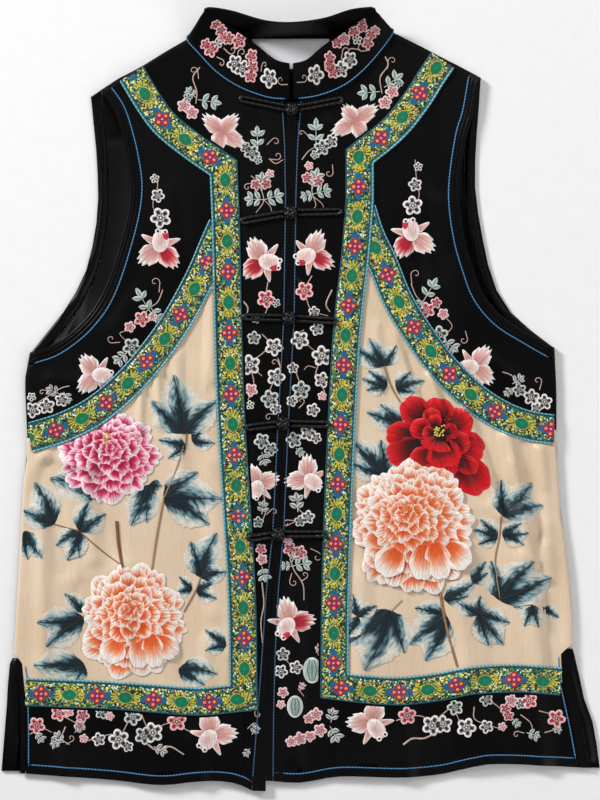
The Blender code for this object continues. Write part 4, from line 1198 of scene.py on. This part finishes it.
# %% Leaves and stems
LEAVES = (  # the base of each leaf, and the tips of its lobes
    ((182, 433), ((174, 377), (153, 402), (216, 402))), ((186, 446), ((160, 440), (169, 458))),
    ((192, 440), ((207, 426), (214, 443))), ((164, 498), ((197, 473), (220, 499), (208, 523))),
    ((149, 485), ((162, 486), (132, 524), (147, 521))), ((100, 493), ((52, 479), (76, 491))),
    ((54, 524), ((36, 484), (22, 510))), ((25, 531), ((28, 558), (42, 557))),
    ((80, 531), ((89, 502), (105, 514), (57, 545), (68, 559), (80, 556))),
    ((201, 577), ((191, 543), (216, 534), (226, 571))), ((192, 589), ((180, 577), (175, 594))),
    ((197, 591), ((216, 579), (216, 598))), ((84, 612), ((66, 594),)),
    ((84, 618), ((39, 622), (48, 645))), ((84, 664), ((36, 665), (76, 680))),
    ((226, 645), ((206, 630), (206, 650))), ((179, 669), ((216, 673), (204, 684))),
    ((383, 366), ((369, 339), (356, 350), (396, 346))),
    ((387, 386), ((363, 379), (369, 371), (367, 390))),
    ((396, 388), ((410, 372), (423, 381), (414, 392))), ((402, 424), ((381, 405), (368, 413))),
    ((384, 474), ((352, 442), (381, 441), (352, 464))),
    ((501, 514), ((501, 481), (531, 484), (541, 506))),
    ((497, 537), ((481, 520), (474, 530), (479, 544))),
    ((502, 534), ((520, 523), (527, 533), (522, 544))),
    ((500, 600), ((491, 562), (532, 562), (549, 578))), ((472, 582), ((485, 562), (487, 573))),
    ((444, 599), ((474, 583), (466, 596))), ((358, 616), ((353, 595), (376, 606), (346, 637))),
    ((388, 610), ((349, 643), (366, 668), (404, 651))),
    ((446, 616), ((416, 608), (411, 643), (426, 659))),
    ((478, 614), ((457, 602), (508, 622), (502, 643), (488, 644), (480, 596))),
    ((531, 604), ((514, 607), (524, 625), (538, 626))), ((543, 607), ((558, 617),)),
)
STEMS = (  # points, half width in millimetres and colour
    (((117, 521), (119, 545), (123, 568)), 1.7, "#85573f"),
    (((81, 532), (104, 552), (122, 565)), 0.7, "#93705a"),
    (((184, 446), (176, 470), (164, 498)), 0.7, "#b08a68"),
    (((164, 498), (157, 536), (152, 570)), 1.0, "#a8835f"), (((187, 433), (186, 446)), 0.9, "#8a6a50"),
    (((54, 524), (80, 531)), 0.6, "#93705a"), (((440, 592), (446, 626), (457, 666)), 1.5, "#a07855"),
    (((384, 366), (391, 386), (400, 402)), 1.0, "#a08767"),
    (((501, 514), (499, 537), (495, 562), (500, 599)), 0.8, "#a08767"),
    (((402, 600), (396, 606), (391, 611)), 0.6, "#a08767"),
    (((201, 577), (196, 590), (184, 612)), 0.8, "#93705a"),
    (((384, 474), (387, 480), (391, 487)), 0.7, "#a08767"),
)
stems = new_work()
for points, radius, colour in STEMS:
    strand_line(stems, smooth([spot(*point) for point in points]), radius, colour, taper=0.2)
for base, tips in LEAVES:
    leaf(stems, spot(*base), [spot(*tip) for tip in sorted(tips, key=lambda end: end[1])])

for work, name in (
    (stems, "leaves_and_stems"), (flowers, "orange_peony"), (pink_flower, "pink_peony"),
    (red_flower, "red_and_orange_peonies"),
):
    finish_work(work, name, FLOSS, lay=lay_embroidery)

# %% [markdown]
# ## Small motifs on the black silk
#
# The black silk carries sprays of plum blossom, lilies, tendrils and pale leaves, and goldfish
# with long fins. All are small, so each kind is one function, and tables say where it goes.
# Places are measured in pixels of the photo; the shapes are drawn, not traced.

# %% Blossoms, leaves, tendrils and goldfish
THREADS = {  # outline, filling and centre of a blossom or a small leaf
    "white": ("#fffaf7", "#2b2427", "#120d0f"), "grey": ("#dde2dd", "#232827", "#101211"),
    "red": ("#fad3d4", "#ae1128", "#3d060e"), "pink": ("#fbe6e3", "#d3767d", "#7c1a29"),
    "sage": ("#d3e0d8", "#4a615a", "#161d1b"),
}
TAN = "#d2b3a4"
PALE_FIN = ((0.0, "#c4837c"), (0.32, "#dfaea5"), (0.58, "#f2d7d0"), (0.8, "#fffaf6"), (1.0, "#fffcfa"))
RED_FIN = ((0.0, "#8e0d19"), (0.3, "#c22436"), (0.5, "#e89a98"), (0.75, "#fbe6e0"), (1.0, "#fff6f2"))
BODY = ((0.1, "#dcb4ae"), (0.6, "#efd5cf"), (0.95, "#fff8f5"))
POD = ((0.2, "#8fa69c"), (0.7, "#b9cac1"), (1.0, "#e9f0eb"))
POD_RIB = ((-0.8, 0.5), (0, 1.1), (0.8, 0.4))  # along the pod, and how wide the ribs stand there


def blossom(work, at, radius, kind, lift=0.35):
    """Five round petals, each outlined, about a dark centre."""
    radius = 1.15 * radius
    edge, filling, centre = THREADS[kind]
    start = chance.uniform(0, 2 * math.pi)
    colours = shaded(rim_of(7), ((0.34, filling), (0.72, edge)))
    for k in range(5):
        turn = start + 2 * math.pi * k / 5
        middle = at + 0.56 * radius * np.array([math.cos(turn), math.sin(turn)])
        shape = disc(middle, 0.47 * radius, 0.4 * radius, turn, 7)
        patch(work, shape, lift + 0.45 * dome(7) + 0.05 * (k % 2), colours)
        if radius > 5:
            reach = at + 0.5 * radius * np.array([math.cos(turn + 0.6), math.sin(turn + 0.6)])
            strand_line(work, np.array([at, reach]), 0.3, centre, lift + 0.4, 0)
    dot(work, at, 0.2 * radius, 0.2 * radius, centre, lift + 0.6, 0.2, n=3)
    dot(work, at, 0.1 * radius, 0.1 * radius, edge, lift + 0.8, 0.2, n=3)


def blade(work, base, tip, half_width, kind, lift=0.35):
    """A small pointed leaf with a darker middle."""
    edge, filling, _ = THREADS[kind]
    base, run, _, across = axes(base, tip)
    c, t = np.meshgrid(np.linspace(-1, 1, 5), np.linspace(0, 1, 6))
    width = c * np.sin(math.pi * np.clip(t, 0.02, 0.98)) ** 0.8
    flat = base + t[..., None] * run + width[..., None] * (across * half_width)
    colours = shaded(np.abs(c), ((0.1, filling), (0.6, edge)))
    patch(work, flat, lift + 0.4 * (1 - c**2), colours, np.stack([c, 5 * t], axis=-1))


def sprig(work, base, tip, kind, pairs=2):
    """A short stem with pairs of small leaves, and one at its end."""
    base, run, length, side = axes(base, tip)
    strand_line(work, np.array([base, base + 0.8 * run]), 0.35, THREADS[kind][0])
    size = min(0.42 * length, 8)
    for pair in range(pairs):
        at = base + run * (pair + 0.6) / (pairs + 0.8)
        for hand in (1, -1):
            out = at + run / length * size * 0.6 + side * hand * size * chance.uniform(0.75, 1.05)
            blade(work, at, out, 0.3 * size, kind)
    blade(work, base + run * 0.62, base + run, 0.3 * size, kind)


def tendril(work, start, heading, size, hand=1):
    """A thread that runs out and curls up at its end."""
    turn = np.linspace(0, 3.6 * math.pi / 2, 22)
    reach = size * (1 - turn / turn[-1] * 0.75)
    spiral = np.stack([np.sin(turn) * reach, hand * (size - np.cos(turn) * reach)], axis=1) * 0.55
    path = np.vstack([[-0.9 * size, -0.25 * hand * size], spiral])
    cos, sin = math.cos(math.radians(heading)), math.sin(math.radians(heading))
    turned = path @ np.array([[cos, sin], [-sin, cos]])
    strand_line(work, smooth(turned, 3) + start, 0.42, TAN, taper=0.3)


def fin(work, base, tip, half_width, shades, frill, round_tip, narrow):
    """A long fin whose end is cut into five points."""
    petal(work, base, tip, half_width, shades, 0.4, 5, frill, round_tip, narrow, pointed=True)


def goldfish(work, at, heading, size, crimson=0):
    """A goldfish that faces a way, in degrees. crimson is the side of its dark fin: 1, -1 or 0."""
    at, way, size = np.asarray(at, float), math.radians(heading), 1.3 * size
    ahead = np.array([math.cos(way), math.sin(way)])
    aside = np.array([-ahead[1], ahead[0]])

    def to(forward, left):
        """A place on the fish, in shares of its size."""
        return at + size * (forward * ahead + left * aside)

    for hand in (1, -1):
        shades = RED_FIN if hand == crimson else PALE_FIN
        fin(work, to(-0.3, 0.06 * hand), to(-1.25, 1.1 * hand), 0.58 * size, shades, 0.15, 0.45, 0.1)
        petal(work, to(0.0, 0.35 * hand), to(0.3, 1.0 * hand), 0.2 * size, PALE_FIN, 0.45, 1, 0.3, 0.6, 0.5)
    body = shaded(rim_of(9) + chance.uniform(-0.15, 0.15, (9, 9)), BODY)
    patch(work, disc(to(0.1, 0), 0.62 * size, 0.46 * size, way, n=9), 0.6 + 0.9 * dome(9), body)
    if crimson:
        dot(work, to(0.42, 0.22 * crimson), 0.3 * size, 0.2 * size, "#c23044", 1.0, 0.5, way)
    for hand in (1, -1):
        dot(work, to(0.62, 0.2 * hand), 0.15 * size, 0.15 * size, "#fbf4f2", 1.2, 0.3)
        dot(work, to(0.62, 0.2 * hand), 0.07 * size, 0.07 * size, "#1b1216", 1.6, n=3)


# %% Where the small motifs go
BLOSSOMS = (  # x, y, radius in pixels, colour
    (155, 179, 4, "white"), (158, 196, 6, "white"), (161, 218, 9, "white"), (142, 319, 7, "red"),
    (130, 327, 5, "pink"), (153, 317, 4, "pink"), (132, 347, 8, "grey"), (47, 406, 7, "white"),
    (33, 410, 7, "white"), (62, 400, 6, "white"), (32, 397, 4, "white"), (418, 167, 4, "white"),
    (415, 185, 6, "white"), (412.6, 206, 8.5, "white"), (427, 310, 7, "red"), (436, 303, 5, "red"),
    (443, 314, 5, "pink"), (439, 335, 8, "grey"), (519, 390, 6, "grey"), (531, 397, 7, "white"),
    (544, 402, 7, "white"), (536, 408, 5, "white"), (192, 113, 6, "pink"), (184, 106, 6, "pink"),
    (188, 98, 4, "grey"), (385, 103, 6, "pink"), (392, 92, 6, "pink"), (398, 84, 4, "grey"),
    (252, 153, 7, "grey"), (246, 148, 5, "grey"), (258, 160, 4, "grey"), (322, 148, 7, "grey"),
    (331, 142, 6, "white"), (315, 155, 4, "grey"), (256, 185, 5, "red"), (266, 184, 5, "red"),
    (270, 174, 4, "pink"), (307, 178, 5, "red"), (318, 182, 5, "red"), (309, 166, 4, "pink"),
    (266, 299, 8, "red"), (304.5, 291, 8, "red"), (276, 303, 4, "grey"), (256, 319, 4, "white"),
    (314, 312, 5, "white"), (254, 338, 6, "grey"), (274, 347, 8, "white"), (250, 365, 9, "white"),
    (276, 377, 8, "white"), (251, 390, 6, "pink"), (270, 399, 8, "grey"), (250, 405, 4, "white"),
    (276, 409, 5, "white"), (317, 329, 6, "white"), (300, 340, 8, "white"), (322, 356, 9, "white"),
    (293, 368, 5, "white"), (322, 380, 7, "white"), (301, 390, 8, "grey"), (322, 396, 4, "pink"),
    (292, 401, 5, "white"), (313, 410, 6, "white"), (262, 441, 7, "grey"), (271, 449, 6, "grey"),
    (294, 440, 7, "grey"), (308, 433, 7, "white"), (316, 438, 5, "white"), (308, 517, 6, "white"),
    (300, 521, 5, "grey"), (258, 522, 5, "grey"), (290, 549, 6, "red"), (300, 552, 6, "red"),
    (288, 540, 4, "pink"), (261, 549, 5, "red"), (262, 559, 5, "pink"), (283, 654, 6, "grey"),
    (281, 671, 6, "white"), (296, 667, 6, "white"), (283, 692, 5, "pink"), (281, 704, 4, "pink"),
    (316, 714, 6, "pink"), (309, 718, 5, "pink"), (291, 741, 5, "pink"), (300, 738, 6, "pink"),
    (310, 736, 5, "pink"), (320, 730, 6, "pink"), (407, 715, 8, "red"), (432, 725, 9, "white"),
    (443, 724, 8, "white"), (455, 707, 7, "grey"), (466, 727, 8.5, "white"), (486, 726, 6, "white"),
    (502, 726, 4, "pink"), (486, 699, 6, "grey"), (511, 700, 6, "pink"), (520, 703, 5, "white"),
    (529, 700, 7, "red"), (505, 708, 5, "red"), (508, 715, 5, "red"), (556, 718, 8, "red"),
    (37, 725, 7.5, "red"), (59, 713, 7, "red"), (69, 711, 5, "pink"), (83, 715, 6, "red"),
    (80, 725, 5, "pink"), (102, 712, 6, "grey"), (84, 738, 4, "pink"), (99, 739, 6, "white"),
    (119, 739, 9, "white"), (133, 716, 8, "grey"), (144, 735, 8, "grey"), (153, 732, 9, "white"),
    (177, 721, 8.5, "red"), (128, 746, 5, "white"), (110, 716, 4, "pink"),
)
SPRIGS = (  # x and y of the base and of the tip, colour
    (151, 313, 136, 288, "sage"), (151, 308, 163, 322, "sage"), (128, 352, 114, 364, "grey"),
    (60, 394, 46, 388, "grey"), (64, 392, 70, 404, "grey"), (424, 300, 437, 278, "sage"),
    (424, 300, 414, 312, "sage"), (444, 340, 458, 352, "grey"), (512, 384, 524, 376, "grey"),
    (512, 388, 504, 396, "grey"), (198, 100, 222, 104, "sage"), (196, 98, 186, 88, "sage"),
    (380, 92, 357, 94, "sage"), (384, 88, 403, 74, "sage"), (258, 150, 257, 126, "sage"),
    (316, 146, 316, 118, "sage"), (264, 200, 244, 199, "sage"), (264, 200, 284, 194, "sage"),
    (314, 194, 332, 190, "sage"), (314, 194, 300, 198, "sage"), (262, 192, 262, 172, "grey"),
    (312, 190, 318, 168, "grey"), (262, 452, 266, 466, "grey"), (296, 448, 304, 456, "grey"),
    (298, 512, 296, 492, "grey"), (262, 514, 264, 500, "grey"), (292, 566, 312, 562, "sage"),
    (292, 566, 280, 566, "sage"), (292, 562, 298, 546, "grey"), (262, 566, 266, 582, "sage"),
    (331, 722, 333, 707, "grey"), (330, 726, 339, 742, "grey"), (64, 742, 54, 732, "grey"),
    (62, 742, 50, 744, "grey"), (75, 732, 84, 724, "sage"), (526, 732, 540, 736, "grey"),
    (512, 718, 520, 726, "sage"), (552, 728, 562, 730, "grey"), (36, 732, 44, 742, "grey"),
    (250, 748, 244, 756, "grey"), (252, 734, 258, 724, "grey"), (154, 746, 168, 752, "grey"),
    (316, 652, 322, 644, "pink"), (300, 690, 304, 682, "pink"),
)
VINES = (  # points of a branch, half its width in millimetres
    (((155, 174), (158, 186), (153, 206), (160, 216)), 0.4),
    (((415, 160), (416, 176), (419, 196), (413, 206)), 0.4),
    (((163, 290), (158, 302), (150, 308), (142, 318)), 0.5),
    (((142, 318), (128, 330), (120, 334), (132, 346)), 0.4),
    (((70, 386), (62, 388), (52, 394), (36, 404)), 0.5),
    (((411, 284), (416, 296), (424, 304), (432, 310)), 0.5),
    (((444, 316), (452, 326), (446, 334), (440, 340)), 0.4),
    (((502, 372), (512, 376), (520, 388), (546, 404)), 0.5),
    (((200, 68), (193, 78), (197, 92), (196, 104)), 0.6),
    (((385, 57), (388, 66), (380, 78), (382, 94)), 0.6),
    (((251, 176), (257, 182), (264, 200), (256, 213)), 0.5),
    (((264, 200), (270, 206), (272, 212)), 0.4),
    (((313, 176), (312, 192), (316, 206), (310, 210)), 0.5),
    (((312, 196), (322, 204), (324, 210)), 0.4), (((270, 160), (276, 164), (283, 160)), 0.5),
    (((302, 160), (308, 152), (314, 148)), 0.5),
    (((268, 282), (266, 296), (268, 306), (262, 318), (250, 320)), 0.5),
    (((242, 300), (248, 308), (246, 318)), 0.7),
    (((312, 276), (306, 288), (308, 304), (314, 312), (328, 316)), 0.5),
    (((332, 290), (326, 304), (330, 312)), 0.7),
    (((262, 334), (270, 344), (262, 354), (250, 364), (262, 376)), 0.5),
    (((250, 366), (254, 384), (248, 400)), 0.5),
    (((278, 358), (280, 370), (270, 390), (272, 404)), 0.5),
    (((304, 330), (296, 336), (306, 344), (316, 352)), 0.5),
    (((316, 368), (308, 366), (304, 370)), 0.4),
    (((318, 366), (316, 376), (324, 390), (326, 400)), 0.5),
    (((293, 362), (298, 378), (302, 388), (296, 400)), 0.5),
    (((264, 496), (266, 510), (262, 522)), 0.5),
    (((300, 496), (298, 508), (304, 516), (286, 526)), 0.5),
    (((262, 582), (264, 604), (261, 622), (263, 646)), 0.6),
    (((290, 558), (294, 570), (303, 584), (304, 600)), 0.6),
    (((284, 656), (290, 664), (298, 668)), 0.4), (((316, 648), (319, 656)), 0.5),
    (((298, 688), (304, 696)), 0.5), (((30, 734), (42, 728), (52, 732)), 0.5),
    (((60, 714), (72, 720), (82, 726)), 0.5), (((66, 726), (62, 738), (70, 744)), 0.6),
    (((82, 742), (96, 738), (112, 734), (120, 738)), 0.5), (((128, 722), (124, 730), (120, 738)), 0.5),
    (((142, 714), (146, 724), (152, 732), (164, 724), (176, 722)), 0.5),
    (((178, 724), (188, 730), (196, 732)), 0.5),
    (((148, 744), (158, 750), (170, 746), (184, 754)), 0.9),
    (((403, 744), (412, 738), (424, 738), (436, 732)), 0.9),
    (((396, 720), (408, 716), (422, 716), (434, 724)), 0.5),
    (((440, 716), (452, 708), (460, 722)), 0.5),
    (((474, 706), (474, 718), (486, 724), (500, 728)), 0.5),
    (((490, 700), (500, 708), (508, 716)), 0.5), (((520, 714), (530, 722), (532, 730)), 0.5),
    (((538, 710), (552, 714), (566, 718)), 0.5), (((544, 732), (560, 728)), 0.5),
)
TENDRILS = (  # x, y, heading in degrees, size in pixels, hand
    (160, 284, 70, 7, 1), (113, 343, 200, 6, -1), (44, 390, 150, 4, 1), (411, 276, 110, 7, -1),
    (467, 338, -60, 6, -1), (541, 383, 60, 6, 1), (198, 72, 80, 6, 1), (388, 62, 100, 6, -1),
    (272, 140, 60, 6, -1), (276, 160, -20, 6, 1), (304, 132, 120, 4, 1), (333, 172, -70, 6, -1),
    (248, 184, 170, 5, 1), (318, 552, -10, 7, -1), (290, 580, 240, 6, 1), (306, 578, 20, 5, 1),
    (271, 510, 60, 5, -1), (288, 520, 160, 5, 1), (270, 414, 160, 5, 1), (303, 404, 30, 5, 1),
    (72, 741, 10, 5, 1), (518, 731, 150, 5, 1), (255, 712, 240, 5, 1), (252, 724, 60, 5, -1),
    (278, 362, 100, 5, 1),
)
GOLDFISH = (  # x, y, heading in degrees, size in pixels, side of the crimson fin
    (268, 262, -12, 14, -1), (307, 256, 200, 13.5, 1), (160.5, 243, 84, 14, -1), (411, 232, 100, 14, 1),
    (101, 375, -4, 13, 0), (470, 367, 186, 13, 0), (257, 488, 250, 12, 0), (312, 481, -38, 13, 0),
    (287, 626, 235, 14, 1), (209, 738, 232, 14, 0), (375, 727, -52, 14, 0),
)
FANS = (  # centre, and the tips of pale fins
    ((222, 132), ((203, 115), (238, 115), (215, 153), (246, 147))),
    ((355, 121), ((343, 105), (378, 106), (331, 135), (365, 141))),
)
PODS = ((312, 670, 9, 13), (295, 706, 8, 11))  # centre, half width and half height

sewn = new_work()
for points, half_width in VINES:
    strand_line(sewn, smooth([spot(*point) for point in points], 4), half_width, TAN, taper=0.3)
for x, y, heading, size, hand in TENDRILS:
    tendril(sewn, spot(x, y), heading, 1.3 * size * PIXEL, hand)
for x1, y1, x2, y2, kind in SPRIGS:
    sprig(sewn, spot(x1, y1), spot(x2, y2), kind)
for x, y, radius, kind in BLOSSOMS:
    blossom(sewn, spot(x, y), radius * PIXEL, kind)
for centre, tips in FANS:
    for tip in tips:
        fin(sewn, spot(*centre), spot(*tip), 8, PALE_FIN, 0.13, 0.5, 0.08)
for x, y, half_width, half_height in PODS:
    shape = disc(spot(x, y), half_width * PIXEL, half_height * PIXEL, n=9)
    patch(sewn, shape, 0.4 + 0.6 * dome(9), shaded(rim_of(9), POD))
    for share in (-0.45, 0, 0.45):
        reach = share * half_width
        rib = [spot(x + reach * wide, y + along * half_height) for along, wide in POD_RIB]
        strand_line(sewn, smooth(rib, 4), 0.35, "#4f665d", 0.9, 0)
for x, y, heading, size, crimson in GOLDFISH:
    goldfish(sewn, spot(x, y), heading, size * PIXEL, crimson)
finish_work(sewn, "sprays_and_goldfish", FLOSS, lay=lay_embroidery)

# %% [markdown]
# The collar carries the same blossoms. They are drawn on the collar as if it were unrolled, in
# millimetres along its base and up from it, and then laid on its standing outer face.

# %% Embroidery of the collar
ROUND, UP = np.meshgrid(np.linspace(0, 1, 241), np.linspace(0.05, 0.95, 19))
OUTER = lay_on_collar(np.column_stack([ROUND.ravel(), UP.ravel(), np.full(ROUND.size, COLLAR_WALL / 2)]))
BASE_LENGTH, STAND = length_of(COLLAR_BASE), 34.0
FRONT_FACE = (ROUND.ravel() < 0.36) | (ROUND.ravel() > 0.64)


def collar_spot(x, y):
    """The place on the unrolled collar, in millimetres, of a pixel of the photo."""
    away = np.linalg.norm(OUTER[:, :2] - spot(x, y), axis=1) + 1000 * ~FRONT_FACE
    nearest = int(away.argmin())
    return np.array([ROUND.ravel()[nearest] * BASE_LENGTH, UP.ravel()[nearest] * STAND])


def lay_on_stand(points):
    """Places on the collar's outer face, from the unrolled collar."""
    share = np.clip(points[:, 0] / BASE_LENGTH, 0, 1)
    up = np.clip(points[:, 1] / STAND, 0.02, 0.98)
    return lay_on_collar(np.column_stack([share, up, COLLAR_WALL / 2 + points[:, 2]]))


COLLAR_BLOSSOMS = (  # x, y, radius in pixels, colour
    (216, 26, 5, "red"), (222, 32, 5, "red"), (223, 38, 5, "pink"), (206, 44, 5, "red"),
    (211, 51, 6, "red"), (229, 41, 5, "red"), (239, 43, 6, "red"), (218, 45, 4, "white"),
    (253, 57, 5, "red"), (252, 68, 5, "red"), (250, 76, 5, "red"), (234, 64, 6, "white"),
    (242, 70, 6, "white"), (269.5, 80, 8, "white"), (315.5, 76, 8, "white"), (333, 73, 5, "red"),
    (330, 58, 5, "red"), (330, 66, 5, "red"), (341, 69, 6, "white"), (350, 60, 6, "white"),
    (336, 43, 5, "red"), (345, 41, 5, "pink"), (354, 33, 5, "red"), (360, 21, 5, "red"),
    (362, 30, 5, "red"), (370, 36, 5, "red"), (369, 44, 5, "red"), (375, 31, 5, "pink"),
    (357, 40, 4, "white"), (208, 36, 4, "white"),
)
COLLAR_TENDRILS = (  # x, y, heading in degrees, size in millimetres, hand
    (238, 56, 40, 5, 1), (229, 54, 200, 5, -1), (262, 67, 60, 4, 1), (282, 86, -20, 6, 1),
    (303, 83, 200, 6, -1), (342, 54, 120, 5, 1), (353, 49, 60, 5, -1), (363, 52, 20, 5, 1),
    (222, 60, 150, 4, 1), (324, 66, 100, 4, 1),
)
sewn = new_work()
for x, y, heading, size, hand in COLLAR_TENDRILS:
    tendril(sewn, collar_spot(x, y), heading, 1.3 * size, hand)
for x, y, radius, kind in COLLAR_BLOSSOMS:
    blossom(sewn, collar_spot(x, y), radius * PIXEL, kind)
finish_work(sewn, "collar_sprays", FLOSS, lay=lay_on_stand)
seam = new_work()
foot = np.linspace(0.01, 0.37, 60)
for shares in (foot, 1 - foot):
    path = lay_on_collar(np.column_stack([shares, np.full(60, 0.02), np.full(60, 1.5)]))
    tube(seam, path, BLUE_RADIUS, sides=6)
finish_work(seam, "collar_blue_line", BLUE_LINE, as_placed)

# %% [markdown]
# ## The flat cut
#
# A maker adds about 10 mm all round for seams, and cuts a binding about 25 mm wide, to fold it
# round the edge; the face that shows is what is modelled. A ribbon's cut is its own width and
# the length of its middle line; the loop below finds that line for each ribbon, up to the border
# ribbon for an arc, and does nothing more with it. A strip under 10 mm wide is entered as 10 mm,
# with its true area.

# %% Sheets
for (side, place), (strip, motifs) in RIBBONS.items():
    line = CENTRES[side][place]
    if place == "arc":  # its end stops at the border ribbon
        line = part_beyond(line, (CENTRES[side]["border"], CLEAR_OF_BORDER))

# %% [markdown]
# ## Stage
#
# A plain pale floor, a large soft light from the upper left that models the creases, and a
# broad weaker one from the right to open the shadows.

# %% Floor and lights
plane = bpy.data.meshes.new("floor")
plane.from_pydata([(-3, -3, 0), (3, -3, 0), (3, 3, 0), (-3, 3, 0)], [], [(0, 1, 2, 3)])
floor = bpy.data.objects.new("floor", plane)
floor.location.z = -0.0005
bpy.context.scene.collection.objects.link(floor)
paper, tree, surface = new_material("pale_paper")
grain = add(tree, "ShaderNodeTexNoise", {"Scale": 400.0})
shade = add(tree, "ShaderNodeValToRGB", {"Fac": grain.outputs["Fac"]}, stops=((0, "#f4f4f4"), (1, "#fafafa")))
matt = add(tree, "ShaderNodeBsdfPrincipled", {"Base Color": shade.outputs["Color"], "Roughness": 0.9})
tree.links.new(matt.outputs[0], surface)
plane.materials.append(paper)


def soft_light(name, place, size, power):
    """An area light that looks at the middle of the waistcoat."""
    data = bpy.data.lights.new(name, "AREA")
    data.size, data.energy = size, power
    made = bpy.data.objects.new(name, data)
    made.location = place
    made.rotation_euler = (-Vector(place)).to_track_quat("-Z", "Y").to_euler()
    bpy.context.scene.collection.objects.link(made)


soft_light("window", (-2.7, 2.1, 1.76), 0.8, 138)
soft_light("high", (0.9, 1.4, 2.2), 1.2, 14)
soft_light("fill", (1.6, -0.9, 1.2), 1.6, 13)
world = bpy.data.worlds.new("studio")
world.use_nodes = True
world.node_tree.nodes["Background"].inputs["Color"].default_value = linear("#ffffff")
world.node_tree.nodes["Background"].inputs["Strength"].default_value = 0.25
bpy.context.scene.world = world
bpy.context.scene.view_settings.view_transform = "Standard"
